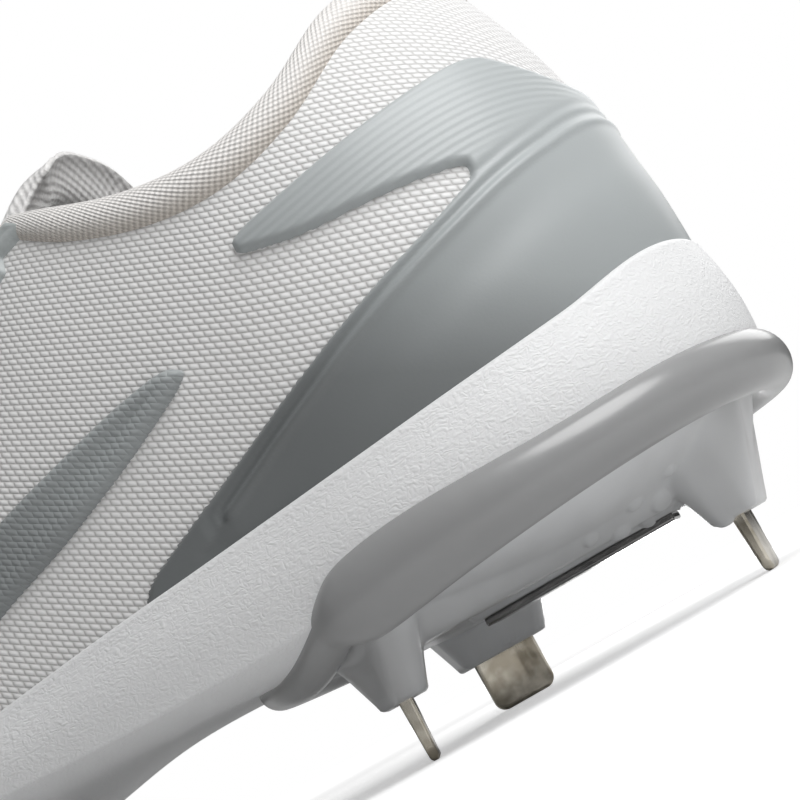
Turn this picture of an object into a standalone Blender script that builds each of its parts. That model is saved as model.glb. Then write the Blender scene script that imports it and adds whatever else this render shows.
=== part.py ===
"""A low-cut metal-spike baseball cleat, left shoe, standing on its blades.

The toe points to -X, the lateral side to -Y, and +Z is up. Every curved piece is read from
one surface, the upper's, which runs round the foot from the heel back, along the lateral
side, over the toe and back along the medial side.
"""
import math
from collections import namedtuple

import bmesh
import bpy
from mathutils import Matrix, Vector

# Driving sizes, in metres
length = 0.292              # upper at the featherline, heel back to toe
ball_width = 0.098          # upper at the featherline, across the ball
instep_height = 0.080       # footbed to the top of the tongue's line
collar_height = 0.094       # floor to the collar's edge at the heel back
throat_width = 0.050        # between the eyestays at the top
upper_wall = 0.0024         # woven shell with its lining
heel_swell = 0.0016         # how far the heel rounds out past its seat
toe_swing = 0.010           # toe tip towards the medial side
toe_spring = 0.011          # rise of the footbed at the toe tip

blade_drop = 0.0080         # steel that shows under a pedestal
blade_thick = 0.0020
blade_width = 0.0105
blade_tang = 0.0040         # steel held in the pedestal
heel_pedestal = 0.0050
fore_pedestal = 0.0030
pedestal_border = 0.0022    # plastic around the blade at the pedestal's foot
pedestal_flare = 0.0016     # how much wider a pedestal is where it leaves the plate
plate_thick = 0.0028
heel_foam = 0.0128          # midsole under the heel
fore_foam = 0.0080          # midsole under the ball
arch_lift = 0.0042
panel_inset = 0.010         # flat underside starts this far in from the edge
bevel_rise = 0.0080         # rise from the flat underside to the heel's side edge
lip_height = 0.0070         # side wall over the footbed, at the heel's side
wall_out = 0.0026           # side wall stands this far outside the upper
wall_belly = 0.0010
rim_cover = 0.0030          # plate rim over the side wall's lower edge
rim_out = 0.0022            # plate rim stands this far outside the side wall
insole_thick = 0.0040
tongue_thick = 0.0050
tongue_margin = 0.0060      # tongue under each eyestay
overlay_thick = 0.0009
binding_thick = 0.0012
binding_leg = 0.0050
eyestay_width = 0.015
eyestay_reveal = 0.0008     # upper that shows between an eyestay and the throat's edge
eyelet_radius = 0.0020
eyelet_inset = 0.0075       # eyelet centre from the throat's edge
lace_width = 0.0060
lace_thick = 0.0012
blade_corner = 0.0022       # round lower corners
slot_floor = 0.0020         # a slot is cut this far below the pedestal's foot
binding_clear = 0.0030      # between the tongue and the collar's binding
inlay_size = Vector((0.0300, 0.0080, 0.0010))
gap = 0.0003                # clearance between pieces

# Where things lie, as shares of the length from the heel
heel_widest = 0.17
heel_spine = 0.13
toe_widest = 0.68
toe_spine = 0.89
throat_end = 0.62
throat_round = 0.035
tongue_top = 0.245
tongue_end = 0.655
binding_end = 0.252
tongue_tuck = 0.302         # where the tongue has its full margin under the eyestays
counter_end = 0.290
band_start = 0.180
band_end = 0.500
inlay_share = 0.115
eyestay_end = 0.600
flex_start = 0.74
stack_from = 0.25
stack_to = 0.58

# Shares of a height, of a width or of a run
counter_top = 0.90          # of the way up each profile
band_top = 0.86
toe_overlay_top = 0.75
insole_crown = 0.85         # thickness of the insole at its rounded rim
tongue_tip = 0.84           # width of the tongue at its top
tongue_edge = 0.45          # thickness of the tongue at its side edges
lace_pasts = ((0.016, 0.006), (0.040, 0.026))   # lateral and medial runs past their eyelets

# Roundness of the plan at the two ends, 2 being an ellipse
heel_round = 2.25
toe_round = 2.25

# How finely the pieces are cut
heel_steps = 8
side_steps = 22
toe_steps = 9
upper_rows = 8
tongue_steps = (14, 8)
lace_steps = 7
eyelet_sides = 6
toe_overlay_turn = 2.2      # column where the toe overlay starts

Last = namedtuple("Last", "share lateral medial ridge fullness")
# Half widths are shares of ball_width, ridge is a share of instep_height over the footbed
LAST = (
    Last(0.00, 0.345, 0.330, 1.060, 2.50),
    Last(0.17, 0.345, 0.330, 1.060, 2.55),
    Last(0.25, 0.350, 0.318, 1.000, 2.50),
    Last(0.33, 0.362, 0.300, 0.860, 2.40),
    Last(0.42, 0.398, 0.302, 0.750, 2.30),
    Last(0.52, 0.455, 0.362, 0.675, 2.25),
    Last(0.60, 0.492, 0.445, 0.625, 2.25),
    Last(0.68, 0.505, 0.500, 0.570, 2.25),
    Last(0.78, 0.505, 0.500, 0.475, 2.30),
    Last(0.89, 0.505, 0.500, 0.350, 2.40),
    Last(1.00, 0.505, 0.500, 0.250, 2.50),
)

Collar = namedtuple("Collar", "share height")
# Height of the collar's edge, as a share of collar_height
COLLAR = (
    Collar(0.00, 1.000),
    Collar(0.05, 0.955),
    Collar(0.10, 0.868),
    Collar(0.143, 0.840),
    Collar(0.19, 0.872),
    Collar(0.245, 0.965),
    Collar(0.32, 1.120),
    Collar(1.00, 1.200),
)

Throat = namedtuple("Throat", "share width")
# Width of the throat, as a share of throat_width
THROAT = (
    Throat(0.00, 1.00),
    Throat(0.25, 1.00),
    Throat(0.33, 0.84),
    Throat(0.45, 0.62),
    Throat(0.58, 0.50),
    Throat(1.00, 0.50),
)

Sole = namedtuple("Sole", "share lip edge arch cover")
# lip of lip_height, edge of bevel_rise, arch of arch_lift, cover of rim_cover
SOLE = (
    Sole(0.00, 1.90, 1.10, 0.00, 1.00),
    Sole(0.05, 1.35, 1.00, 0.00, 1.00),
    Sole(0.12, 1.00, 0.78, 0.00, 0.95),
    Sole(0.20, 0.80, 0.50, 0.10, 0.70),
    Sole(0.28, 0.65, 0.28, 0.60, 0.40),
    Sole(0.38, 0.60, 0.28, 1.00, 0.30),
    Sole(0.48, 0.60, 0.32, 0.45, 0.35),
    Sole(0.58, 0.62, 0.36, 0.00, 0.45),
    Sole(0.74, 0.68, 0.38, 0.00, 0.50),
    Sole(0.88, 0.85, 0.45, 0.00, 0.60),
    Sole(1.00, 1.25, 0.60, 0.00, 0.80),
)

# Side-view outlines: shares of the length, and of collar_height
COUNTER_OUTLINE = (
    (-0.08, 0.800), (0.045, 0.788), (0.086, 0.757), (0.116, 0.735), (0.146, 0.722),
    (0.146, 0.702), (0.105, 0.682), (0.070, 0.675), (0.046, 0.655), (0.046, 0.632),
    (0.087, 0.571), (0.126, 0.511), (0.188, 0.440), (0.231, 0.387), (0.262, 0.345),
    (0.262, 0.200), (-0.08, 0.200),
)
BAND_OUTLINE = (
    (0.198, 0.585), (0.206, 0.598), (0.240, 0.592), (0.300, 0.553), (0.394, 0.468),
    (0.480, 0.350), (0.480, 0.200), (0.411, 0.200), (0.411, 0.310), (0.324, 0.425),
    (0.287, 0.457), (0.243, 0.510), (0.206, 0.565),
)
# The toe's heights are shares of instep_height over the side wall's lip
TOE_OUTLINE = (
    (0.790, -0.115), (0.800, 0.034), (0.850, 0.100), (0.915, 0.148), (0.985, 0.124),
    (1.080, 0.123), (1.080, -0.280),
)
# Plan outlines: shares of the length, and of ball_width
HEEL_PLATE_OUTLINE = (
    (-0.10, 0.60), (0.165, 0.60), (0.184, 0.395), (0.204, 0.352), (0.226, 0.298),
    (0.250, 0.228), (0.271, 0.140), (0.281, 0.050),
)
FORE_PLATE_OUTLINE = (
    (1.10, 0.70), (0.560, 0.70), (0.545, 0.500), (0.518, 0.330), (0.508, 0.150),
    (0.515, 0.030),
)

Blade = namedtuple("Blade", "name share across turn part")
# across is a share of ball_width, turn is the angle of the wide way from the X axis
BLADES = (
    Blade("heel_blade_lateral", 0.193, -0.225, 111, "heel"),
    Blade("heel_blade_medial", 0.193, 0.225, 34, "heel"),
    Blade("heel_blade_rear", 0.038, 0.000, 90, "heel"),
    Blade("fore_blade_lateral_back", 0.600, -0.350, 100, "fore"),
    Blade("fore_blade_lateral_mid", 0.725, -0.340, 68, "fore"),
    Blade("fore_blade_lateral_toe", 0.865, -0.170, 50, "fore"),
    Blade("fore_blade_medial_back", 0.615, 0.290, 80, "fore"),
    Blade("fore_blade_medial_mid", 0.735, 0.370, 112, "fore"),
    Blade("fore_blade_medial_toe", 0.870, 0.270, 130, "fore"),
)

EYELET_SHARES = (0.285, 0.342, 0.399, 0.456, 0.513, 0.570)

Finish = namedtuple("Finish", "colour roughness metallic")
FINISHES = {
    "woven_textile": Finish((0.80, 0.80, 0.79), 0.85, 0.0),
    "knit_lining": Finish((0.74, 0.69, 0.62), 0.92, 0.0),
    "moulded_film": Finish((0.36, 0.38, 0.38), 0.45, 0.0),
    "white_foam": Finish((0.82, 0.82, 0.83), 0.60, 0.0),
    "clear_plastic": Finish((0.72, 0.72, 0.70), 0.25, 0.0),
    "blade_steel": Finish((0.62, 0.60, 0.57), 0.18, 1.0),
    "insole_cloth": Finish((0.45, 0.46, 0.47), 0.90, 0.0),
    "lace_cord": Finish((0.80, 0.80, 0.78), 0.85, 0.0),
    "inlay_plastic": Finish((0.55, 0.55, 0.55), 0.22, 0.0),
}


def ease(start, end, value):
    """Rise from 0 to 1 between start and end, with soft ends."""
    part = min(1.0, max(0.0, (value - start) / (end - start)))
    return part * part * (3 - 2 * part)


def read(table, column, share):
    """A smooth curve through one column of a table."""
    shares = [row.share for row in table]
    values = [getattr(row, column) for row in table]
    if share <= shares[0]:
        return values[0]
    if share >= shares[-1]:
        return values[-1]
    spot = max(i for i in range(len(shares) - 1) if shares[i] <= share)

    def slope(i):
        if i == 0 or i == len(shares) - 1:
            return 0.0
        return (values[i + 1] - values[i - 1]) / (shares[i + 1] - shares[i - 1])

    span = shares[spot + 1] - shares[spot]
    part = (share - shares[spot]) / span
    low = (1 + 2 * part) * (1 - part) ** 2 * values[spot]
    high = part * part * (3 - 2 * part) * values[spot + 1]
    low_slope = part * (1 - part) ** 2 * slope(spot) * span
    high_slope = part * part * (part - 1) * slope(spot + 1) * span
    return low + high + low_slope + high_slope


# Heights along the sole
heel_floor = blade_drop + heel_pedestal
fore_floor = blade_drop + fore_pedestal


def spring(share):
    return toe_spring * max(0.0, (share - flex_start) / (1 - flex_start)) ** 1.7


def between_stacks(heel_value, fore_value, share):
    part = ease(stack_from, stack_to, share)
    return heel_value + (fore_value - heel_value) * part


def under_height(share):
    """Flat underside of the foam."""
    flat = between_stacks(heel_floor, fore_floor, share) + plate_thick + gap
    return flat + arch_lift * read(SOLE, "arch", share) + spring(share)


def footbed_height(share):
    heel_top = heel_floor + plate_thick + gap + heel_foam
    fore_top = fore_floor + plate_thick + gap + fore_foam
    return between_stacks(heel_top, fore_top, share) + spring(share)


def edge_height(share):
    """Lower edge of the foam's side wall."""
    return under_height(share) + bevel_rise * read(SOLE, "edge", share)


def lip_top(share):
    """Upper edge of the foam's side wall."""
    return footbed_height(share) + lip_height * read(SOLE, "lip", share)


# The upper's surface
Column = namedtuple("Column", "base spine crown power share")
half_turn = 3.0
full_turn = 6.0


def x_of(share):
    return length * (0.5 - share)


def column(place):
    """One profile of the upper: 0 heel back, 3 toe tip, 6 heel back again."""
    place = place % full_turn
    side = -1 if place < half_turn else 1
    turn = place if place < half_turn else full_turn - place
    key = "lateral" if side < 0 else "medial"
    across = 0.0
    if turn < 1:
        angle = turn * math.pi / 2
        back = math.cos(angle) ** (2 / heel_round)
        out = math.sin(angle) ** (2 / heel_round)
        share = heel_widest * (1 - back)
        reach = out * read(LAST, key, heel_widest) * ball_width
        spine_share = heel_spine + (heel_widest - heel_spine) * math.sin(angle)
    elif turn < 2:
        share = heel_widest + (toe_widest - heel_widest) * (turn - 1)
        reach = read(LAST, key, share) * ball_width
        spine_share = share
    else:
        angle = (half_turn - turn) * math.pi / 2
        ahead = max(0.0, math.cos(angle)) ** (2 / toe_round)
        out = math.sin(angle) ** (2 / toe_round)
        share = toe_widest + (1 - toe_widest) * ahead
        reach = out * read(LAST, key, toe_widest) * ball_width
        spine_share = toe_widest + (toe_spine - toe_widest) * math.cos(angle)
        across = toe_swing * ahead ** 2
    spine_part = max(0.0, (spine_share - toe_widest) / (1 - toe_widest))
    base = Vector((x_of(share), side * reach + across, footbed_height(share) + gap))
    spine = Vector((x_of(spine_share), toe_swing * spine_part ** 2, base.z))
    crown = footbed_height(spine_share) + gap + read(LAST, "ridge", spine_share) * instep_height
    return Column(base, spine, crown, read(LAST, "fullness", spine_share), share)


def profile_point(place, rise):
    """Point of the upper's outer face; rise is an angle from 0 at the seat to a right angle."""
    col = column(place)
    inward = max(0.0, math.cos(rise)) ** (2 / col.power)
    upward = max(0.0, math.sin(rise)) ** (2 / col.power)
    run = (col.base - col.spine)
    swell = heel_swell / run.length * (1 - ease(0.08, 0.28, col.share))
    inward = inward * (1 + swell * math.sin(math.pi * min(1.0, upward * 1.3)))
    point = col.spine + run * inward
    point.z = col.base.z + (col.crown - col.base.z) * upward
    return point


right_angle = math.pi / 2


def outward(place, rise):
    """Unit normal of the upper's outer face."""
    step = 0.01
    low = max(0.0005, rise - step)
    high = min(right_angle - 0.0005, rise + step)
    middle = (low + high) / 2
    along = profile_point(place + step, middle) - profile_point(place - step, middle)
    up = profile_point(place, high) - profile_point(place, low)
    normal = along.cross(up).normalized()
    col = column(place)
    away = profile_point(place, middle) - col.spine
    return normal if normal.dot(away) > 0 else -normal


def surface(place, rise, offset=0.0):
    return profile_point(place, rise) + outward(place, rise) * offset


def rise_at_height(place, height):
    col = column(place)
    part = (height - col.base.z) / (col.crown - col.base.z)
    part = min(1.0, max(0.0, part))
    return math.asin(part ** (col.power / 2))


def rise_at_reach(place, reach):
    col = column(place)
    part = min(1.0, max(0.0, reach / (col.base - col.spine).length))
    return math.acos(part ** (col.power / 2))


def throat_reach(share):
    """Half width of the throat, rounded off at its front end."""
    if share >= throat_end:
        return 0.0
    end_part = max(0.0, 1 - (throat_end - share) / throat_round)
    return throat_width / 2 * read(THROAT, "width", share) * math.sqrt(1 - end_part ** 2)


def edge_rise(place):
    """Where the upper ends: at the collar's edge, the throat's edge or the ridge."""
    col = column(place)
    collar = rise_at_height(place, collar_height * read(COLLAR, "height", col.share))
    throat = rise_at_reach(place, throat_reach(col.share))
    return min(collar, throat)


def arc_table(place, last_rise, samples=48):
    """Distances along a profile from the seat, with their rises."""
    table = [(0.0, 0.0)]
    before = profile_point(place, 0.0)
    total = 0.0
    for i in range(1, samples + 1):
        rise = last_rise * (i / samples) ** 1.5
        point = profile_point(place, rise)
        total += (point - before).length
        table.append((total, rise))
        before = point
    return table


def rise_after(table, distance):
    """The rise at a distance along a profile."""
    if distance <= 0:
        return 0.0
    for (near, low), (far, high) in zip(table, table[1:]):
        if distance <= far:
            return low + (high - low) * (distance - near) / (far - near)
    return table[-1][1]


def place_of(share, side):
    """The column over a share of the straight stretch, on the lateral (-1) or medial side."""
    turn = 1 + (share - heel_widest) / (toe_widest - heel_widest)
    return turn if side < 0 else full_turn - turn


def all_places():
    heel = [i / heel_steps for i in range(heel_steps)]
    side = [1 + i / side_steps for i in range(side_steps)]
    toe = [2 + i / toe_steps for i in range(toe_steps)]
    lateral = heel + side + toe
    medial = [full_turn - place for place in reversed(lateral[1:])]
    return lateral + [half_turn] + medial


PLACES = all_places()


def heel_places(last_share):
    """Columns round the heel, from the medial side to the lateral side."""
    turns = [place for place in PLACES if place < 2 and column(place).share <= last_share]
    return [-place for place in reversed(turns[1:])] + turns


def side_places(side, first_share, last_share):
    """Columns along one side of the straight stretch."""
    turns = [place for place in PLACES
             if 1 <= place <= 2 and first_share <= column(place).share <= last_share]
    return turns if side < 0 else [full_turn - place for place in reversed(turns)]


def toe_places(first_turn):
    """Columns round the toe, from the lateral side to the medial side."""
    return [place for place in PLACES if first_turn <= place <= full_turn - first_turn]


# Making solids
def clear_scene():
    for thing in list(bpy.data.objects):
        bpy.data.objects.remove(thing, do_unlink=True)


def finish_material(name):
    material = bpy.data.materials.get(name)
    if material is None:
        finish = FINISHES[name]
        material = bpy.data.materials.new(name)
        material.use_nodes = True
        shader = material.node_tree.nodes["Principled BSDF"]
        shader.inputs["Base Color"].default_value = (*finish.colour, 1.0)
        shader.inputs["Roughness"].default_value = finish.roughness
        shader.inputs["Metallic"].default_value = finish.metallic
    return material


class Body:
    """Points and faces of one closed solid, gathered and then turned into an object."""

    def __init__(self):
        self.points = []
        self.faces = []

    def add(self, point):
        self.points.append(point)
        return len(self.points) - 1

    def ring(self, points):
        return [self.add(point) for point in points]

    def triangles(self, a, b, c, d):
        """A four-sided face, always split the same way, so that pieces lie parallel."""
        for corners in ((a, b, c), (a, c, d)):
            if len(set(corners)) == 3:
                self.faces.append(corners)

    def band(self, low, high, closed=True):
        """Faces between two rows of points."""
        count = len(low) if closed else len(low) - 1
        for i in range(count):
            j = (i + 1) % len(low)
            self.triangles(low[i], low[j], high[j], high[i])

    def ladder(self, ring):
        """Close a ring with strips across the shoe, side to side."""
        count = len(ring)
        for i in range(count // 2):
            self.triangles(ring[i], ring[i + 1], ring[count - i - 1], ring[-i])

    def stack(self, rings):
        """A solid from rings in order, closed by a ladder at each end."""
        rows = [self.ring(points) for points in rings]
        for low, high in zip(rows, rows[1:]):
            self.band(low, high)
        self.ladder(rows[0])
        self.ladder(rows[-1])

    def slab(self, outer, inner):
        """A solid between two open grids of the same size."""
        out = [self.ring(row) for row in outer]
        back = [self.ring(row) for row in inner]
        for low, high in zip(out, out[1:]):
            self.band(low, high, closed=False)
        for low, high in zip(back, back[1:]):
            self.band(low, high, closed=False)
        self.band(out[0], back[0], closed=False)
        self.band(out[-1], back[-1], closed=False)
        self.band([row[0] for row in out], [row[0] for row in back], closed=False)
        self.band([row[-1] for row in out], [row[-1] for row in back], closed=False)

    def make(self, name, finish, smooth=True):
        mesh = bpy.data.meshes.new(name)
        form = bmesh.new()
        corners = [form.verts.new(point) for point in self.points]
        for face in self.faces:
            form.faces.new([corners[i] for i in face])
        bmesh.ops.recalc_face_normals(form, faces=form.faces[:])
        form.to_mesh(mesh)
        form.free()
        if smooth:
            mesh.shade_smooth()
            mesh.set_sharp_from_angle(angle=math.radians(40))
        mesh.materials.append(finish_material(finish))
        thing = bpy.data.objects.new(name, mesh)
        bpy.context.collection.objects.link(thing)
        return thing


def hide_cutter(thing):
    thing.hide_render = True
    thing.display_type = "WIRE"
    return thing


def cut(thing, cutter, operation):
    change = thing.modifiers.new(operation.lower(), "BOOLEAN")
    change.operation = operation
    change.object = cutter
    change.solver = "EXACT"


def prism(name, outline, start, end, axis):
    """A cutter: an outline of (x, other) pairs drawn out along Y or Z."""
    body = Body()
    if axis == "Y":
        low = body.ring([Vector((x, start, z)) for x, z in outline])
        high = body.ring([Vector((x, end, z)) for x, z in outline])
    else:
        low = body.ring([Vector((x, y, start)) for x, y in outline])
        high = body.ring([Vector((x, y, end)) for x, y in outline])
    body.band(low, high)
    body.faces.append(low)
    body.faces.append(high)
    return hide_cutter(body.make(name, "white_foam", smooth=False))


def rounded(outline, turns=4):
    """Soften an outline: each corner becomes a short curve between its neighbours' halves."""
    points = []
    count = len(outline)
    for i, corner in enumerate(outline):
        before = Vector(outline[i - 1]).lerp(Vector(corner), 0.68)
        after = Vector(corner).lerp(Vector(outline[(i + 1) % count]), 0.32)
        middle = Vector(corner)
        for k in range(turns + 1):
            part = k / turns
            bend = before.lerp(middle, part).lerp(middle.lerp(after, part), part)
            points.append((bend.x, bend.y))
    return points


def side_outline(shares):
    return [(x_of(share), height * collar_height) for share, height in shares]


def toe_outline():
    return [(x_of(share), lip_top(min(share, 1.0)) + height * instep_height)
            for share, height in TOE_OUTLINE]


def plan_outline(shares):
    half = [(x_of(share), across * ball_width) for share, across in shares]
    return half + [(x, -y) for x, y in reversed(half)]


# The pieces
def make_upper():
    body = Body()
    grids = {}
    ridge = {}
    opened = {}
    for place in PLACES:
        top = edge_rise(place)
        opened[place] = top < right_angle - 1e-6
        table = arc_table(place, top)
        lip = rise_at_height(place, lip_top(column(place).share))
        lip_run = min(far for far, rise in table if rise >= lip)
        runs = [0.0] + [lip_run + (table[-1][0] - lip_run) * i / upper_rows
                        for i in range(upper_rows + 1)]
        rises = [0.0, lip] + [rise_after(table, run) for run in runs[2:]]
        turn = round(min(place, full_turn - place), 6)
        for face, offset in (("out", 0.0), ("in", -upper_wall)):
            row = [body.add(surface(place, rise, offset)) for rise in rises[:-1]]
            if opened[place]:
                row.append(body.add(surface(place, rises[-1], offset)))
            else:
                if (turn, face) not in ridge:
                    ridge[turn, face] = body.add(surface(place, rises[-1], offset))
                row.append(ridge[turn, face])
            grids[place, face] = row
    for here, there in zip(PLACES, PLACES[1:] + PLACES[:1]):
        for face in ("out", "in"):
            body.band(grids[here, face], grids[there, face], closed=False)
        body.band([grids[here, "out"][0], grids[there, "out"][0]],
                  [grids[here, "in"][0], grids[there, "in"][0]], closed=False)
        if opened[here] or opened[there]:
            body.band([grids[here, "out"][-1], grids[there, "out"][-1]],
                      [grids[here, "in"][-1], grids[there, "in"][-1]], closed=False)
    return body.make("upper", "woven_textile")


def plan_normal(place):
    normal = outward(place, 0.02)
    normal.z = 0
    return normal.normalized()


def sole_point(place, out, height):
    """A point outside (or, with a negative value, inside) the seat of the upper."""
    point = column(place).base + plan_normal(place) * out
    point.z = height
    return point


def sole_ring(out, height_of, lift=0.0):
    return [sole_point(place, out, height_of(column(place).share) + lift) for place in PLACES]


def panel_ring(lift=0.0):
    """Edge of the flat underside, drawn in towards the middle of the shoe."""
    points = []
    for place in PLACES:
        col = column(place)
        point = col.base + (col.spine - col.base).normalized() * panel_inset
        point.z = under_height(col.share) + lift
        points.append(point)
    return points


def cover_top(share):
    """How high a plate's rim climbs the side wall."""
    return edge_height(share) + rim_cover * read(SOLE, "cover", share)


def wall_middle(share):
    return (cover_top(share) + lip_top(share)) / 2


def make_midsole():
    body = Body()
    lip_inner = [surface(place, rise_at_height(place, lip_top(column(place).share)), gap)
                 for place in PLACES]
    body.stack([
        [sole_point(place, gap, footbed_height(column(place).share)) for place in PLACES],
        lip_inner,
        sole_ring(wall_out, lip_top, -gap),
        sole_ring(wall_out + wall_belly, wall_middle),
        sole_ring(wall_out, cover_top),
        sole_ring(wall_out - wall_belly, edge_height),
        panel_ring(),
    ])
    return body.make("midsole", "white_foam")


def make_insole():
    body = Body()
    inset = -(upper_wall + 3 * gap)
    body.stack([
        sole_ring(inset, footbed_height, gap),
        sole_ring(inset, footbed_height, gap + insole_thick),
        sole_ring(inset - 2 * insole_thick, footbed_height, gap + insole_thick * insole_crown),
    ])
    return body.make("insole", "insole_cloth")


def plate_blank(name):
    """The whole underside as one tray; each plate is a length of it."""
    body = Body()
    body.stack([
        panel_ring(-gap - plate_thick),
        sole_ring(wall_out + gap + rim_out * 0.8, edge_height, -plate_thick * 0.6),
        sole_ring(wall_out + gap + rim_out, cover_top, -rim_cover * 0.5),
        sole_ring(wall_out + gap + rim_out * 0.7, cover_top, gap),
        sole_ring(wall_out + gap, cover_top),
        sole_ring(wall_out - wall_belly + gap, edge_height, -gap),
        panel_ring(-gap),
    ])
    return body.make(name, "clear_plastic")


def blade_frame(blade):
    """Middle of a blade's root, its tip height and its turn about Z."""
    root = blade_drop + spring(blade.share)
    middle = Vector((x_of(blade.share), blade.across * ball_width, root))
    return middle, Matrix.Rotation(math.radians(blade.turn), 4, "Z")


def wedge(body, middle, turn, low_half, high_half, low_z, high_z):
    """Four-sided block between two rectangles."""
    rings = []
    for half, height in ((low_half, low_z), (high_half, high_z)):
        corners = []
        for sign_x, sign_y in ((-1, -1), (1, -1), (1, 1), (-1, 1)):
            corner = turn @ Vector((sign_x * half[0], sign_y * half[1], 0))
            corners.append(Vector((middle.x + corner.x, middle.y + corner.y, height)))
        rings.append(body.ring(corners))
    body.band(rings[0], rings[1])
    body.faces.append(rings[0])
    body.faces.append(rings[1])


def make_plate(part, outline, finish):
    plate = plate_blank(part + "_plate")
    if part == "fore":
        plate.name = "forefoot_plate"
    shape = prism(part + "_plate_outline", plan_outline(outline), -blade_drop, collar_height, "Z")
    cut(plate, shape, "INTERSECT")
    feet = Body()
    slots = Body()
    for blade in BLADES:
        if blade.part != part:
            continue
        middle, turn = blade_frame(blade)
        foot = (blade_width / 2 + pedestal_border, blade_thick / 2 + pedestal_border)
        wide = (foot[0] + pedestal_flare, foot[1] + pedestal_flare)
        seat = under_height(blade.share) - gap - plate_thick / 2
        wedge(feet, middle, turn, foot, wide, middle.z, seat)
        slot = (blade_width / 2 + gap, blade_thick / 2 + gap)
        wedge(slots, middle, turn, slot, slot, middle.z - slot_floor, middle.z + blade_tang + gap)
    feet_thing = hide_cutter(feet.make(part + "_pedestals", finish, smooth=False))
    slots_thing = hide_cutter(slots.make(part + "_slots", finish, smooth=False))
    cut(plate, feet_thing, "UNION")
    cut(plate, slots_thing, "DIFFERENCE")
    return plate


def make_blade(blade):
    """Steel blade with rounded lower corners, its tang up in the pedestal's slot."""
    middle, turn = blade_frame(blade)
    tip = middle.z - blade_drop
    half = blade_width / 2
    corner = blade_corner
    profile = [(-half, middle.z + blade_tang), (-half, tip + corner)]
    profile += [(-half + corner * (1 - math.cos(a)), tip + corner * (1 - math.sin(a)))
                for a in (math.pi / 6, math.pi / 3)]
    profile.append((-half + corner, tip))
    profile += [(-x, z) for x, z in reversed(profile)]
    body = Body()
    rows = []
    for side in (-1, 1):
        row = []
        for along, height in profile:
            spot = turn @ Vector((along, side * blade_thick / 2, 0))
            row.append(Vector((middle.x + spot.x, middle.y + spot.y, height)))
        rows.append(body.ring(row))
    body.band(rows[0], rows[1])
    body.faces.append(rows[0])
    body.faces.append(rows[1])
    return body.make(blade.name, "blade_steel", smooth=False)


def overlay_slab(name, places, finish, top_share, rows):
    """A skin over the upper from the side wall's lip up, 0.3 mm off the upper."""
    body = Body()
    outer = []
    inner = []
    for place in places:
        lip = rise_at_height(place, lip_top(column(place).share) + gap * 2)
        top = edge_rise(place)
        table = arc_table(place, top)
        start = min(far for far, rise in table if rise >= lip)
        end = table[-1][0] * top_share
        rises = [lip] + [rise_after(table, start + (end - start) * i / rows)
                         for i in range(1, rows + 1)]
        outer.append([surface(place, rise, gap + overlay_thick) for rise in rises])
        inner.append([surface(place, rise, gap) for rise in rises])
    body.slab(outer, inner)
    return body.make(name, finish)


def spread(first, last, count):
    return [first + (last - first) * i / count for i in range(count + 1)]


def make_counter():
    places = heel_places(counter_end)
    counter = overlay_slab("heel_counter", places, "moulded_film", counter_top, 5)
    outline = rounded(side_outline(COUNTER_OUTLINE), 2)
    cut(counter, prism("counter_outline", outline, -ball_width, ball_width, "Y"), "INTERSECT")
    return counter


def make_band(side, name):
    places = side_places(side, band_start, band_end)
    band = overlay_slab(name, places, "moulded_film", band_top, 6)
    outline = rounded(side_outline(BAND_OUTLINE), 2)
    cut(band, prism(name + "_outline", outline, -ball_width, ball_width, "Y"), "INTERSECT")
    return band


def make_toe_overlay():
    places = toe_places(toe_overlay_turn)
    toe = overlay_slab("toe_overlay", places, "moulded_film", toe_overlay_top, 5)
    outline = rounded(toe_outline(), 2)
    cut(toe, prism("toe_outline", outline, -ball_width, ball_width, "Y"), "INTERSECT")
    return toe


def make_eyestay(side, name):
    body = Body()
    outer = []
    inner = []
    for place in side_places(side, binding_end, eyestay_end):
        table = arc_table(place, edge_rise(place))
        close = table[-1][0] - eyestay_reveal
        rises = [rise_after(table, close - eyestay_width * (3 - i) / 3) for i in range(4)]
        outer.append([surface(place, rise, gap + overlay_thick) for rise in rises])
        inner.append([surface(place, rise, gap) for rise in rises])
    body.slab(outer, inner)
    return body.make(name, "moulded_film")


def eyelet(share, side):
    """Place and rise of an eyelet."""
    place = place_of(share, side)
    table = arc_table(place, edge_rise(place))
    return place, rise_after(table, table[-1][0] - eyelet_inset)


def make_eyelet_cutter():
    body = Body()
    for share in EYELET_SHARES:
        for side in (-1, 1):
            place, rise = eyelet(share, side)
            middle = surface(place, rise)
            axis = outward(place, rise)
            across = axis.orthogonal().normalized()
            other = axis.cross(across)
            rings = []
            for reach in (-2.5 * upper_wall, 1.7 * upper_wall):
                ring = []
                for i in range(eyelet_sides):
                    angle = 2 * math.pi * (i + 0.5) / eyelet_sides
                    spoke = across * math.cos(angle) + other * math.sin(angle)
                    ring.append(middle + axis * reach + spoke * eyelet_radius)
                rings.append(body.ring(ring))
            body.band(rings[0], rings[1])
            body.faces.append(rings[0])
            body.faces.append(rings[1])
    return hide_cutter(body.make("eyelet_holes", "blade_steel", smooth=False))


def over_throat(share, reach, offset):
    """A point on the upper's surface carried on across the throat; reach is signed."""
    place = place_of(share, -1 if reach < 0 else 1)
    return surface(place, rise_at_reach(place, abs(reach)), offset)


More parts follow.
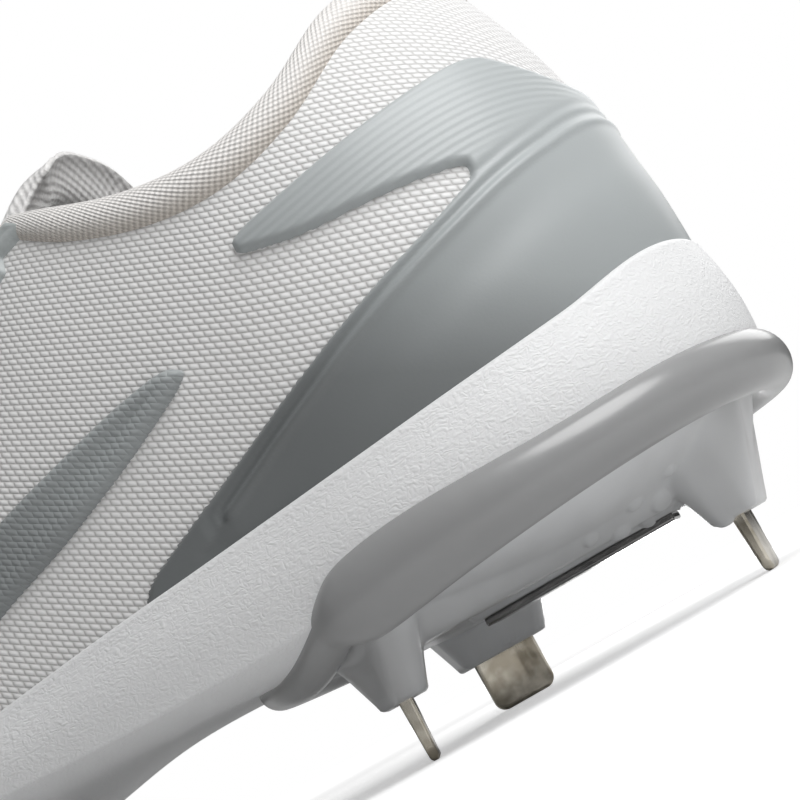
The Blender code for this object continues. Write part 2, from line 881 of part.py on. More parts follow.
def make_tongue():
    body = Body()
    outer = []
    inner = []
    along_steps, across_steps = tongue_steps
    for share in spread(tongue_top, tongue_end, along_steps):
        under = ease(binding_end, tongue_tuck, share)
        half = throat_width / 2 * read(THROAT, "width", share)
        half += (tongue_margin + binding_clear) * under - binding_clear
        half *= tongue_tip + (1 - tongue_tip) * ease(tongue_top, tongue_top + throat_round, share)
        reaches = [half * part for part in spread(-1, 1, across_steps)]
        thin = [1 - (1 - tongue_edge) * abs(part) ** 3 for part in spread(-1, 1, across_steps)]
        outer.append([over_throat(share, reach, -upper_wall - 2 * gap) for reach in reaches])
        inner.append([over_throat(share, reach, -upper_wall - 2 * gap - tongue_thick * part)
                      for reach, part in zip(reaches, thin)])
    body.slab(outer, inner)
    return body.make("tongue", "knit_lining")


def make_binding():
    body = Body()
    rings = []
    for place in heel_places(binding_end):
        top = edge_rise(place)
        table = arc_table(place, top)
        low = rise_after(table, table[-1][0] - binding_leg)
        normal = outward(place, top)
        up = (surface(place, top) - surface(place, top - 0.02)).normalized()
        edge = surface(place, top)
        wall = upper_wall + gap
        thick = binding_thick
        ring = [
            surface(place, low, gap),
            surface(place, low, gap + thick * 0.8),
            edge + normal * (gap + thick) - up * thick,
            edge + normal * thick * 0.4 + up * (gap + thick),
            edge - normal * (wall - gap + thick * 0.4) + up * (gap + thick),
            edge - normal * (wall + thick) - up * thick,
            surface(place, low, -wall - thick * 0.8),
            surface(place, low, -wall),
            edge - normal * wall + up * gap,
            edge + normal * gap + up * gap,
        ]
        rings.append(body.ring(ring))
    for low, high in zip(rings, rings[1:]):
        body.band(low, high)
    body.faces.append(rings[0])
    body.faces.append(rings[-1])
    return body.make("collar_binding", "knit_lining")


def strand(name, start, end, lift, past_start=0.0, past_end=0.0):
    """One run of lace over the tongue, from one eyelet to another, or a little past them."""
    body = Body()
    outer = []
    inner = []
    for part in spread(-past_start, 1.0 + past_end, lace_steps):
        share = start[0] + (end[0] - start[0]) * part
        reach = start[1] + (end[1] - start[1]) * part
        half = lace_width / 2 / length
        low = gap * 3 + overlay_thick + lift
        inner.append([over_throat(share - half, reach, low),
                      over_throat(share + half, reach, low)])
        outer.append([over_throat(share - half, reach, low + lace_thick),
                      over_throat(share + half, reach, low + lace_thick)])
    body.slab(outer, inner)
    return body.make(name, "lace_cord")


def make_lace():
    knots = {}
    for share in EYELET_SHARES:
        for side in (-1, 1):
            place, rise = eyelet(share, side)
            spot = surface(place, rise)
            knots[share, side] = (share, spot.y)
    lace = strand("lace", knots[EYELET_SHARES[-1], -1], knots[EYELET_SHARES[-1], 1], 0.0)
    for i, (near, far) in enumerate(zip(EYELET_SHARES, EYELET_SHARES[1:])):
        for side in (-1, 1):
            lift = gap * (1 + (side + 1) / 2 + (i % 2) * 2)
            pasts = lace_pasts[0 if side < 0 else 1]
            run = strand(f"lace_run_{i}_{side + 1}", knots[near, side], knots[far, -side], lift,
                         *pasts)
            cut(lace, hide_cutter(run), "UNION")
    return lace


def make_inlay():
    """A plain bar under the heel plate, between the blades."""
    top = under_height(inlay_share) - gap - plate_thick - gap
    middle = Vector((x_of(inlay_share), 0, top - inlay_size.z))
    half = (inlay_size.x / 2, inlay_size.y / 2)
    body = Body()
    wedge(body, middle, Matrix.Identity(4), (half[0] - inlay_size.z, half[1] - inlay_size.z),
          half, top - inlay_size.z, top)
    return body.make("heel_inlay", "inlay_plastic", smooth=False)


def stand_over_origin():
    """Hang every object from one empty, and put the middle of the shoe over the origin."""
    depsgraph = bpy.context.evaluated_depsgraph_get()
    corners = []
    for thing in bpy.data.objects:
        if not thing.hide_render:
            corners += [Vector(corner) for corner in thing.evaluated_get(depsgraph).bound_box]
    low = [min(corner[axis] for corner in corners) for axis in range(3)]
    high = [max(corner[axis] for corner in corners) for axis in range(3)]
    stand = bpy.data.objects.new("stand", None)
    bpy.context.collection.objects.link(stand)
    for thing in list(bpy.data.objects):
        if thing is not stand:
            thing.parent = stand
    stand.location = (-(low[0] + high[0]) / 2, -(low[1] + high[1]) / 2, -low[2])


def main():
    clear_scene()
    holes = make_eyelet_cutter()
    upper = make_upper()
    cut(upper, holes, "DIFFERENCE")
    make_midsole()
    make_insole()
    make_tongue()
    make_plate("heel", HEEL_PLATE_OUTLINE, "clear_plastic")
    make_plate("fore", FORE_PLATE_OUTLINE, "clear_plastic")
    for blade in BLADES:
        make_blade(blade)
    make_counter()
    make_band(-1, "side_overlay_lateral")
    make_band(1, "side_overlay_medial")
    make_toe_overlay()
    for side, name in ((-1, "eyestay_lateral"), (1, "eyestay_medial")):
        cut(make_eyestay(side, name), holes, "DIFFERENCE")
    make_binding()
    make_lace()
    make_inlay()
    stand_over_origin()


main()
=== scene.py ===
# %% [markdown]
# # A baseball cleat on steel blades
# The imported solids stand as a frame: they say where each piece is and how large it may be.
# This script dresses them. Every curved piece reads one surface, that of the upper, so the
# pieces fit each other without any nudging.

# %% Load the frame
import math

import bmesh
import bpy
import numpy as np
from mathutils import Matrix, Vector


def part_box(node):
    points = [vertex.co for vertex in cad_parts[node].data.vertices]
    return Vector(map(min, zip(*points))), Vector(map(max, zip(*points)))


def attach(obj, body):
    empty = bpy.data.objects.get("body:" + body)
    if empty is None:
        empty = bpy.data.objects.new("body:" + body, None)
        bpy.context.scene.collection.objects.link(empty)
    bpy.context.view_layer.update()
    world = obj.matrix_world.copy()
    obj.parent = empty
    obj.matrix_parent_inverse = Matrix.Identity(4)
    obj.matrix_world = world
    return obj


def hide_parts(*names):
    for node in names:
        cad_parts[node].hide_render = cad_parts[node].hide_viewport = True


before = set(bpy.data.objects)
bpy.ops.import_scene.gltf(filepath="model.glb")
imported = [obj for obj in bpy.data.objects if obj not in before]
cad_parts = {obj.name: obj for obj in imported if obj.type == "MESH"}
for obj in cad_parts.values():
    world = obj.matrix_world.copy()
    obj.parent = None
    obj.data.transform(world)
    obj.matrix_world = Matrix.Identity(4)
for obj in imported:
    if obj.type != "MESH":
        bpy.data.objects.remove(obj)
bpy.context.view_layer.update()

MM = 0.001

# %% [markdown]
# ## The sizes of the last
# A shoe is drawn over a last, a solid foot of smooth sections. The same named sizes and
# tables that shape the solids are repeated here, in metres and in shares of the length.

# %% Sizes
LENGTH = 0.292
BALL_WIDTH = 0.098
INSTEP_HEIGHT = 0.080
COLLAR_HEIGHT = 0.094
THROAT_WIDTH = 0.050
UPPER_WALL = 0.0024
HEEL_SWELL = 0.0016
TOE_SWING = 0.010
TOE_SPRING = 0.011
BLADE_DROP = 0.0080
BLADE_THICK = 0.0020
BLADE_WIDTH = 0.0105
PLATE_THICK = 0.0028
PANEL_INSET = 0.010
BEVEL_RISE = 0.0080
LIP_HEIGHT = 0.0070
WALL_OUT = 0.0026
RIM_COVER = 0.0030
RIM_OUT = 0.0022
ARCH_LIFT = 0.0042
GAP = 0.0003
SIDE_SHIFT = 0.000248       # the solids are centred across, the tables are not
HEEL_FLOOR = BLADE_DROP + 0.0050
FORE_FLOOR = BLADE_DROP + 0.0030
HEEL_FOAM = 0.0128
FORE_FOAM = 0.0080
HEEL_WIDEST, HEEL_SPINE = 0.17, 0.13
TOE_WIDEST, TOE_SPINE = 0.68, 0.89
THROAT_END, THROAT_ROUND = 0.62, 0.035
FLEX_START = 0.74
PLAN_ROUND = 2.25
RIGHT_ANGLE = math.pi / 2
print("last, mm:", LENGTH / MM, "long,", BALL_WIDTH / MM, "wide at the ball")

# %% [markdown]
# ## Tables of sections
# Widths and heights change along the foot. Each table has a row for every section that
# matters, and a smooth curve runs through its rows, as a spline would through a drawing.


# %% Tables
class Table:
    """Columns of numbers against a share of the length, read as smooth curves."""

    def __init__(self, columns, *rows):
        self.columns = columns.split()
        self.rows = np.array(rows)

    def read(self, column, share):
        x = self.rows[:, 0]
        v = self.rows[:, self.columns.index(column)]
        slope = np.zeros(len(x))
        slope[1:-1] = (v[2:] - v[:-2]) / (x[2:] - x[:-2])
        share = np.clip(share, x[0], x[-1])
        i = np.clip(np.searchsorted(x, share, side="right") - 1, 0, len(x) - 2)
        span = x[i + 1] - x[i]
        t = (share - x[i]) / span
        ends = (1 + 2 * t) * (1 - t) ** 2 * v[i] + t * t * (3 - 2 * t) * v[i + 1]
        return ends + span * (t * (1 - t) ** 2 * slope[i] + t * t * (t - 1) * slope[i + 1])


LAST = Table(
    "share lateral medial ridge fullness",
    (0.00, 0.345, 0.330, 1.060, 2.50), (0.17, 0.345, 0.330, 1.060, 2.55),
    (0.25, 0.350, 0.318, 1.000, 2.50), (0.33, 0.362, 0.300, 0.860, 2.40),
    (0.42, 0.398, 0.302, 0.750, 2.30), (0.52, 0.455, 0.362, 0.675, 2.25),
    (0.60, 0.492, 0.445, 0.625, 2.25), (0.68, 0.505, 0.500, 0.570, 2.25),
    (0.78, 0.505, 0.500, 0.475, 2.30), (0.89, 0.505, 0.500, 0.350, 2.40),
    (1.00, 0.505, 0.500, 0.250, 2.50))
COLLAR = Table(
    "share height",
    (0.00, 1.000), (0.05, 0.955), (0.10, 0.868), (0.143, 0.840), (0.19, 0.872),
    (0.245, 0.965), (0.32, 1.120), (1.00, 1.200))
THROAT = Table(
    "share width",
    (0.00, 1.00), (0.25, 1.00), (0.33, 0.84), (0.45, 0.62), (0.58, 0.50), (1.00, 0.50))
SOLE = Table(
    "share lip edge arch cover",
    (0.00, 1.90, 1.10, 0.00, 1.00), (0.05, 1.35, 1.00, 0.00, 1.00),
    (0.12, 1.00, 0.78, 0.00, 0.95), (0.20, 0.80, 0.50, 0.10, 0.70),
    (0.28, 0.65, 0.28, 0.60, 0.40), (0.38, 0.60, 0.28, 1.00, 0.30),
    (0.48, 0.60, 0.32, 0.45, 0.35), (0.58, 0.62, 0.36, 0.00, 0.45),
    (0.74, 0.68, 0.38, 0.00, 0.50), (0.88, 0.85, 0.45, 0.00, 0.60),
    (1.00, 1.25, 0.60, 0.00, 0.80))

# %% [markdown]
# ## One surface for the whole upper
# The upper is a ring of profiles, like the ribs of a boat. A `place` from 0 to 6 walks round
# the foot: 0 is the heel's back, 3 the toe's tip, and the lateral side comes first. A `rise`
# goes up a profile from the sole to the ridge. Sculpting would look as good, but a formula
# gives every other piece an exact seat. numpy works out all the points of a piece at once.


# %% Heights along the foot
def ease(start, end, value):
    part = np.clip((value - start) / (end - start), 0, 1)
    return part * part * (3 - 2 * part)


def x_of(share):
    return LENGTH * (0.5 - share)


def share_of(x):
    return 0.5 - x / LENGTH


def spring(share):
    return TOE_SPRING * np.maximum(0, (share - FLEX_START) / (1 - FLEX_START)) ** 1.7


def stacked(heel_value, fore_value, share):
    return heel_value + (fore_value - heel_value) * ease(0.25, 0.58, share)


def under_height(share):
    flat = stacked(HEEL_FLOOR, FORE_FLOOR, share) + PLATE_THICK + GAP
    return flat + ARCH_LIFT * SOLE.read("arch", share) + spring(share)


def footbed_height(share):
    stack = PLATE_THICK + GAP
    return stacked(HEEL_FLOOR + HEEL_FOAM, FORE_FLOOR + FORE_FOAM, share) + stack + spring(share)


def edge_height(share):
    return under_height(share) + BEVEL_RISE * SOLE.read("edge", share)


def cover_top(share):
    return edge_height(share) + RIM_COVER * SOLE.read("cover", share)


def lip_top(share):
    return footbed_height(share) + LIP_HEIGHT * SOLE.read("lip", share)


print("foam lip over the floor at the heel, mm:", round(float(lip_top(0.0)) / MM, 1))


# %% Profiles
class Columns:
    """The profiles of the upper at an array of places."""

    def __init__(self, place):
        place = np.mod(place, 6.0)
        side = np.where(place < 3, -1.0, 1.0)
        turn = np.where(place < 3, place, 6 - place)

        def half_width(share):
            halves = [LAST.read(name, share) for name in ("lateral", "medial")]
            return np.where(side < 0, *halves) * BALL_WIDTH

        heel = np.clip(turn, 0, 1) * RIGHT_ANGLE
        toe = np.clip(3 - turn, 0, 1) * RIGHT_ANGLE
        back = np.maximum(0, np.cos(heel)) ** (2 / PLAN_ROUND)
        ahead = np.maximum(0, np.cos(toe)) ** (2 / PLAN_ROUND)
        middle = HEEL_WIDEST + (TOE_WIDEST - HEEL_WIDEST) * (turn - 1)
        toe_share = TOE_WIDEST + (1 - TOE_WIDEST) * ahead
        in_heel, in_toe = turn < 1, turn > 2
        self.share = np.select([in_heel, in_toe], [HEEL_WIDEST * (1 - back), toe_share], middle)
        heel_reach = np.sin(heel) ** (2 / PLAN_ROUND) * half_width(HEEL_WIDEST)
        toe_reach = np.sin(toe) ** (2 / PLAN_ROUND) * half_width(TOE_WIDEST)
        reach = np.select([in_heel, in_toe], [heel_reach, toe_reach], half_width(middle))
        heel_spine = HEEL_SPINE + (HEEL_WIDEST - HEEL_SPINE) * np.sin(heel)
        toe_spine = TOE_WIDEST + (TOE_SPINE - TOE_WIDEST) * np.cos(toe)
        self.spine_share = np.select([in_heel, in_toe], [heel_spine, toe_spine], middle)
        across = np.where(in_toe, TOE_SWING * ahead ** 2, 0)
        swing = np.maximum(0, (self.spine_share - TOE_WIDEST) / (1 - TOE_WIDEST))
        seat = footbed_height(self.share) + GAP
        self.base = np.stack([x_of(self.share), side * reach + across, seat], -1)
        self.spine = np.stack([x_of(self.spine_share), TOE_SWING * swing ** 2, seat], -1)
        ridge = LAST.read("ridge", self.spine_share) * INSTEP_HEIGHT
        self.crown = footbed_height(self.spine_share) + GAP + ridge
        self.power = LAST.read("fullness", self.spine_share)
        self.reach = np.linalg.norm(self.base - self.spine, axis=-1)


def profile(place, rise):
    """Points of the upper's outer face."""
    place, rise = np.broadcast_arrays(np.asarray(place, float), np.asarray(rise, float))
    col = Columns(place)
    inward = np.maximum(0, np.cos(rise)) ** (2 / col.power)
    upward = np.maximum(0, np.sin(rise)) ** (2 / col.power)
    swell = HEEL_SWELL / col.reach * (1 - ease(0.08, 0.28, col.share))
    inward = inward * (1 + swell * np.sin(math.pi * np.minimum(1, upward * 1.3)))
    point = col.spine + (col.base - col.spine) * inward[..., None]
    point[..., 2] = col.base[..., 2] + (col.crown - col.base[..., 2]) * upward
    return point


def unit(vector):
    return vector / np.maximum(1e-12, np.linalg.norm(vector, axis=-1, keepdims=True))


def outward(place, rise, step=0.01):
    """Unit normals of the upper's outer face."""
    place, rise = np.broadcast_arrays(np.asarray(place, float), np.asarray(rise, float))
    low = np.maximum(0.0005, rise - step)
    high = np.minimum(RIGHT_ANGLE - 0.0005, rise + step)
    middle = (low + high) / 2
    along = profile(place + step, middle) - profile(place - step, middle)
    normal = unit(np.cross(along, profile(place, high) - profile(place, low)))
    away = profile(place, middle) - Columns(place).spine
    return normal * np.where((normal * away).sum(-1) > 0, 1, -1)[..., None]


def surface(place, rise, offset=0.0):
    return profile(place, rise) + outward(place, rise) * np.asarray(offset)[..., None]


print("ball:", profile(np.array([2.0, 4.0]), 0.0).round(4).tolist())

# %% [markdown]
# ## Where the upper stops
# The collar is cut at a height, the throat at a distance from the middle line. Both cuts are
# turned into a rise on each profile, so the shell ends there exactly and needs no trimming.


# %% Edges of the upper
def rise_at_height(place, height):
    col = Columns(place)
    part = np.clip((height - col.base[..., 2]) / (col.crown - col.base[..., 2]), 0, 1)
    return np.arcsin(part ** (col.power / 2))


def rise_at_reach(place, reach):
    col = Columns(place)
    return np.arccos(np.clip(reach / col.reach, 0, 1) ** (col.power / 2))


def throat_reach(share):
    end = np.clip(1 - (THROAT_END - share) / THROAT_ROUND, 0, 1)
    half = THROAT_WIDTH / 2 * THROAT.read("width", share) * np.sqrt(1 - end ** 2)
    return np.where(share >= THROAT_END, 0, half)


def edge_rise(place):
    """Where the upper stops: at the collar, at the throat or at the ridge."""
    share = Columns(place).share
    collar = rise_at_height(place, COLLAR_HEIGHT * COLLAR.read("height", share))
    return np.minimum(collar, rise_at_reach(place, throat_reach(share)))


def place_of(share, side):
    turn = 1 + (np.asarray(share) - HEEL_WIDEST) / (TOE_WIDEST - HEEL_WIDEST)
    return np.where(np.asarray(side) < 0, turn, 6 - turn)


def plan_normal(place):
    normal = outward(place, 0.02)
    normal[..., 2] = 0
    return unit(normal)


def sole_points(place, out, height):
    point = Columns(place).base + plan_normal(place) * np.asarray(out)[..., None]
    point[..., 2] = height
    return point


print("edge beside the ankle:", profile(np.ones(1), edge_rise(np.ones(1))).round(4).tolist())

# %% [markdown]
# ## From grids to meshes
# Most pieces are a grid of points. `grid` turns one into a mesh, with a UV map in metres
# along the thread's own directions. Rows of a grid may close on themselves, like the rings
# of a tube, and then its two ends are closed too, because a real piece has no open end.


# %% Mesh helpers
def caps(rings):
    """Faces that close the two end rings of a tube, in strips from side to side."""
    half = rings.shape[1] // 2
    there, back = rings[:, :half], rings[:, ::-1][:, :half]
    return np.stack([there[:, 1:], there[:, :-1], back[:, :-1], back[:, 1:]], -1).reshape(-1, 4)


def quads(index, wrap_rows, wrap_columns):
    """Faces between the neighbours in a grid of point numbers."""
    below = np.roll(index, -1, 0) if wrap_rows else index[1:]
    here = index if wrap_rows else index[:-1]
    beside = np.roll(here, -1, 1) if wrap_columns else here[:, 1:]
    beyond = np.roll(below, -1, 1) if wrap_columns else below[:, 1:]
    if not wrap_columns:
        here, below = here[:, :-1], below[:, :-1]
    faces = np.stack([here, beside, beyond, below], -1).reshape(-1, 4)
    if wrap_columns and not wrap_rows:
        faces = np.concatenate([faces, caps(np.stack([index[0], index[-1, ::-1]]))])
    return faces


def sew(mesh):
    """Merge points that coincide, and drop those that no face uses."""
    form = bmesh.new()
    form.from_mesh(mesh)
    loose = [v for v in form.verts if not v.link_faces]
    bmesh.ops.delete(form, geom=loose, context="VERTS")
    bmesh.ops.remove_doubles(form, verts=form.verts[:], dist=1e-6)
    form.to_mesh(mesh)
    form.free()


def grid(name, points, wrap_rows=False, wrap_columns=False, cloth=None, keep=None, slots=None):
    """A mesh from rows, columns and xyz. keep says which faces stay, slots their finish."""
    index = np.arange(points[..., 0].size).reshape(points.shape[:2])
    faces = quads(index, wrap_rows, wrap_columns)
    if keep is not None:
        faces = faces[keep.reshape(-1)[faces].any(1)]
    mesh = bpy.data.meshes.new(name)
    spots = points.reshape(-1, 3) + np.array([0, SIDE_SHIFT, 0])
    mesh.from_pydata(spots.tolist(), [], faces.tolist())
    if slots is not None:
        for _ in range(slots.max() + 1):
            mesh.materials.append(None)
        mesh.polygons.foreach_set("material_index", slots.reshape(-1)[faces].min(1))
    if cloth is not None:
        layer = mesh.uv_layers.new(name="cloth")
        corners = np.zeros(len(mesh.loops), dtype=np.int32)
        mesh.loops.foreach_get("vertex_index", corners)
        layer.data.foreach_set("uv", cloth.reshape(-1, 2)[corners].ravel())
    sew(mesh)
    mesh.shade_smooth()
    thing = bpy.data.objects.new(name, mesh)
    bpy.context.collection.objects.link(thing)
    return thing


def folded(outer, inner):
    """Two sheets as one grid that goes round their edge."""
    return np.concatenate([outer, inner[:, ::-1]], 1)


def run_along(line):
    """Distance along one line of points."""
    return np.concatenate([[0], np.cumsum(np.linalg.norm(np.diff(line, axis=0), axis=-1))])


def threads(along, across):
    """Thread coordinates from a distance for each row and one for each column."""
    return np.stack(np.broadcast_arrays(along[:, None], across), -1)


# %% Putting a finish on a piece
def dress(thing, material, node=None):
    """Give a piece its finish, its body and the solid that it stands for."""
    thing.data.materials.clear()
    for finish in material if isinstance(material, (list, tuple)) else (material,):
        thing.data.materials.append(finish)
    if node:
        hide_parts(node)
    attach(thing, "root")
    print(thing.name, "triangles:", sum(len(p.vertices) - 2 for p in thing.data.polygons))
    return thing


print("a closed ring of four pairs:", quads(np.arange(8).reshape(4, 2), True, False).tolist())

# %% [markdown]
# ## Shader maths as sums
# A finish is a graph of small nodes. The first class wraps one socket, so that a pattern
# can be written as ordinary arithmetic. The second makes every other kind of node with one
# method, and feeds the sockets of the Principled shader.


# %% Sums of sockets
class Wire:
    """A socket of a material's graph that Python's operators work on."""

    def __init__(self, finish, socket):
        self.finish = finish
        self.socket = socket

    def maths(self, operation, first, second=0.0):
        return self.finish.node("Math", {"operation": operation}, {0: first, 1: second})

    def __add__(self, other):
        return self.maths("ADD", self, other)

    def __sub__(self, other):
        return self.maths("SUBTRACT", self, other)

    def __rsub__(self, other):
        return self.maths("SUBTRACT", other, self)

    def __mul__(self, other):
        return self.maths("MULTIPLY", self, other)

    def __truediv__(self, other):
        return self.maths("DIVIDE", self, other)

    def __pow__(self, other):
        return self.maths("POWER", self, other)

    def __mod__(self, other):
        return self.maths("FLOORED_MODULO", self, other)

    __radd__ = __add__
    __rmul__ = __mul__

    def size(self):
        return self.maths("ABSOLUTE", self)

    def floor(self):
        return self.maths("FLOOR", self)

    def wave(self):
        return self.maths("SINE", self)

    def ripple(self, pitch):
        """0 to 1 and back in every pitch."""
        return (self / pitch * (2 * math.pi)).wave() * 0.5 + 0.5

    def between(self, low, high):
        """0 below low, 1 above high, and soft between."""
        return self.finish.node("MapRange", {"interpolation_type": "SMOOTHSTEP"},
                                {0: self, 1: low, 2: high})


# %% Materials
class Finish:
    """A material under construction."""

    def __init__(self, name, **constants):
        self.material = bpy.data.materials.new(name)
        self.material.use_nodes = True
        self.tree = self.material.node_tree
        self.shader = self.tree.nodes["Principled BSDF"]
        for socket, value in constants.items():
            self.shader.inputs[socket.replace("_", " ")].default_value = value

    def node(self, kind, settings=None, values=None, output=0):
        made = self.tree.nodes.new("ShaderNode" + kind)
        for key, value in (settings or {}).items():
            if key == "stops":
                ramp = made.color_ramp.elements
                while len(ramp) < len(value):
                    ramp.new(0.5)
                for stop, (position, colour) in zip(ramp, value):
                    stop.position = position
                    stop.color = colour
            else:
                setattr(made, key, value)
        for key, value in (values or {}).items():
            self.feed(made.inputs[key], value)
        return Wire(self, made.outputs[output])

    def feed(self, socket, value):
        if isinstance(value, Wire):
            self.tree.links.new(value.socket, socket)
        else:
            socket.default_value = value

    def mix(self, factor, first, second):
        """A colour between two colours."""
        return self.node("Mix", {"data_type": "RGBA"}, {0: factor, 6: first, 7: second}, 2)

    def place(self):
        """Where a point of the piece is, in metres."""
        return self.node("TexCoord", output=3)

    def cloth(self):
        """The two thread directions, in metres."""
        uv = self.node("UVMap", {"uv_map": "cloth"})
        return [self.node("SeparateXYZ", values={0: uv}, output=i) for i in (0, 1)]

    def noise(self, scale, detail=2.0, roughness=0.5, vector=None, stretch=None):
        vector = vector or self.place()
        if stretch:
            vector = self.node("VectorMath", {"operation": "MULTIPLY"}, {0: vector, 1: stretch})
        return self.node("TexNoise", values={"Vector": vector, "Scale": scale, "Detail": detail,
                                             "Roughness": roughness})

    def bump(self, height, distance, strength=1.0):
        return self.node("Bump", values={"Height": height, "Distance": distance,
                                         "Strength": strength})

    def use(self, **sockets):
        for name, value in sockets.items():
            self.feed(self.shader.inputs[name.replace("_", " ")], value)
        return self.material


def grey(value, warm=0.0):
    return (value * (1 + warm), value, value * (1 - warm), 1.0)


print("a warm grey:", grey(0.5, 0.01))

# %% [markdown]
# ## Walking over the surface
# Cloth has even threads, so its grid needs even steps. These helpers measure along the
# profiles and spread points evenly. The thread coordinates are alike on both sides of the
# foot, so the threads meet over the ridge and behind the heel.


# %% Even steps
def walk(points):
    """Distance along each row of points."""
    steps = np.linalg.norm(np.diff(points, axis=1), axis=-1)
    return np.concatenate([np.zeros((len(points), 1)), np.cumsum(steps, 1)], 1)


def up_the_wall(place, top, count):
    """Rises from the sole to the top of each profile, and how far up each is."""
    rise = rises_between(place, np.zeros(len(place)), top, count)
    return rise, walk(profile(place[:, None] + 0 * rise, rise))


def rises_between(place, low, high, count, power=1.0):
    """Rises at even distances along each profile, from one rise to another."""
    fine = low[:, None] + (high - low)[:, None] * np.linspace(0, 1, 160) ** 1.4
    far = walk(profile(place[:, None] + 0 * fine, fine))
    wanted = np.linspace(0, 1, count) ** power
    return np.stack([np.interp(wanted * d[-1], d, r) for d, r in zip(far, fine)])


def thread_place(place, points, rise):
    """Thread coordinates in metres: along the foot, alike on both sides, and down its wall."""
    side = np.linspace(0, 3, 400)
    turn = np.mod(place, 6)
    along = np.interp(np.minimum(turn, 6 - turn), side, run_along(profile(side, 0 * side)))
    fine = rise[:, -1:] + (RIGHT_ANGLE - rise[:, -1:]) * np.linspace(0, 1, 60)
    cut_off = walk(profile(place[:, None] + 0 * fine, fine))[:, -1:]
    level = COLLAR_HEIGHT - Columns(place).crown[:, None]
    down = level + cut_off + walk(points)[:, -1:] - walk(points)
    return threads(along, down)


def foot_places(heel, side, toe):
    """Places all the way round, finer where the photograph looks."""
    lateral = np.concatenate([np.linspace(0, 1, heel, endpoint=False),
                              np.linspace(1, 2, side, endpoint=False),
                              np.linspace(2, 3, toe, endpoint=False)])
    return np.concatenate([lateral, [3.0], 6 - lateral[1:][::-1]])


ankle = np.ones(1)
wall = up_the_wall(ankle, edge_rise(ankle), 9)[1]
print("wall at the ankle, mm:", round(float(wall[0, -1]) / MM, 1))

# %% [markdown]
# ## The woven upper
# The real shell is one piece of coarse white textile over a soft lining. It could be a
# plane draped over a last, but reading the surface itself keeps the wall exactly as thick
# as the solid's. The outer face, the rolled edge and the padded lining are one closed grid.

# %% The shell
COLLAR_PAD = 4.0 * MM


def make_upper():
    place = foot_places(70, 120, 44)
    rise = rises_between(place, np.zeros(len(place)), edge_rise(place), 62)
    spots = place[:, None] + 0 * rise
    outer = surface(spots, rise)
    below_edge = walk(outer)[:, -1:] - walk(outer)
    share = Columns(place).share[:, None]
    pad = ease(0, 9 * MM, below_edge) * (1 - ease(20 * MM, 34 * MM, below_edge))
    pad = pad * (1 - ease(0.20, 0.30, share)) * COLLAR_PAD
    inner = surface(spots, rise, -UPPER_WALL - pad)
    yarn = thread_place(place, outer, rise)
    points, cloth = folded(outer, inner), folded(yarn, yarn)
    inside = np.zeros(points.shape[:2], dtype=np.int32)
    inside[:, outer.shape[1]:] = 1
    return grid("upper_shell", points, wrap_rows=True, wrap_columns=True, cloth=cloth, slots=inside)


upper = make_upper()

# %% [markdown]
# ## Weave and lining
# An image of cloth would blur up close. Instead the thread coordinates are cut into rows,
# each shifted by half a brick, and each brick is a small pillow in colour and in relief.

# %% Cloth
WEAVE_TILT = math.radians(-28)
BRICK_LONG, BRICK_TALL = 1.55 * MM, 0.80 * MM


def bricks(finish):
    """The weave's offset rows of short threads: 1 on a thread, 0 in the gaps between."""
    along, down = finish.cloth()
    u = (along * math.cos(WEAVE_TILT) + down * math.sin(WEAVE_TILT)) / BRICK_LONG
    v = (down * math.cos(WEAVE_TILT) - along * math.sin(WEAVE_TILT)) / BRICK_TALL
    thread = v % 1.0 - 0.5
    brick = (u + v.floor() * 0.5 + thread * 0.18) % 1.0 - 0.5
    return (1 - (brick.size() * 2) ** 2.4) * (1 - (thread.size() * 2) ** 2.0)


def woven_textile():
    """Short bright bricks of thread in offset rows, with a little unevenness."""
    cloth = Finish("woven_textile", Roughness=0.62, Sheen_Weight=0.15)
    pillow = bricks(cloth)
    cloud = cloth.noise(60, 3)
    fleck = cloth.noise(1500, 1)
    shade = pillow.between(0.02, 0.85) * (0.80 + fleck * 0.34) + cloud * 0.05
    colour = cloth.mix(shade, grey(0.60, 0.014), grey(0.84, 0.004))
    relief = cloth.bump(pillow + fleck * 0.12, 0.28 * MM, 0.6)
    return cloth.use(Base_Color=colour, Normal=relief)


def knit_lining(name="knit_lining", tone=0.70, warm=0.03, pitch=1.5):
    """A soft knit of fine slanting loops."""
    knit = Finish(name, Roughness=0.9, Sheen_Weight=0.3)
    along, down = knit.cloth()
    loop = (along + down * 0.55).ripple(pitch * MM) * 0.5
    loop = loop + (down - along * 0.25).ripple(pitch * 0.5 * MM) * 0.5
    fuzz = knit.noise(2200, 2)
    shade = loop * 0.7 + fuzz * 0.4
    colour = knit.mix(shade, grey(tone * 0.82, warm * 1.6), grey(tone * 1.12, warm))
    return knit.use(Base_Color=colour, Normal=knit.bump(loop + fuzz * 0.5, 0.25 * MM))


dress(upper, [woven_textile(), knit_lining()], "upper")

# %% [markdown]
# ## Where the blades stand
# Nine blades, three under the heel and six under the ball and toe. Each row gives a share
# of the length, a share of the ball width, a turn in degrees and the plate that holds it.

# %% Blades and plate outlines
BLADES = {
    "heel_blade_lateral": (0.193, -0.225, 111, "heel"),
    "heel_blade_medial": (0.193, 0.225, 34, "heel"),
    "heel_blade_rear": (0.038, 0.000, 90, "heel"),
    "fore_blade_lateral_back": (0.600, -0.350, 100, "fore"),
    "fore_blade_lateral_mid": (0.725, -0.340, 68, "fore"),
    "fore_blade_lateral_toe": (0.865, -0.170, 50, "fore"),
    "fore_blade_medial_back": (0.615, 0.290, 80, "fore"),
    "fore_blade_medial_mid": (0.735, 0.370, 112, "fore"),
    "fore_blade_medial_toe": (0.870, 0.270, 130, "fore"),
}
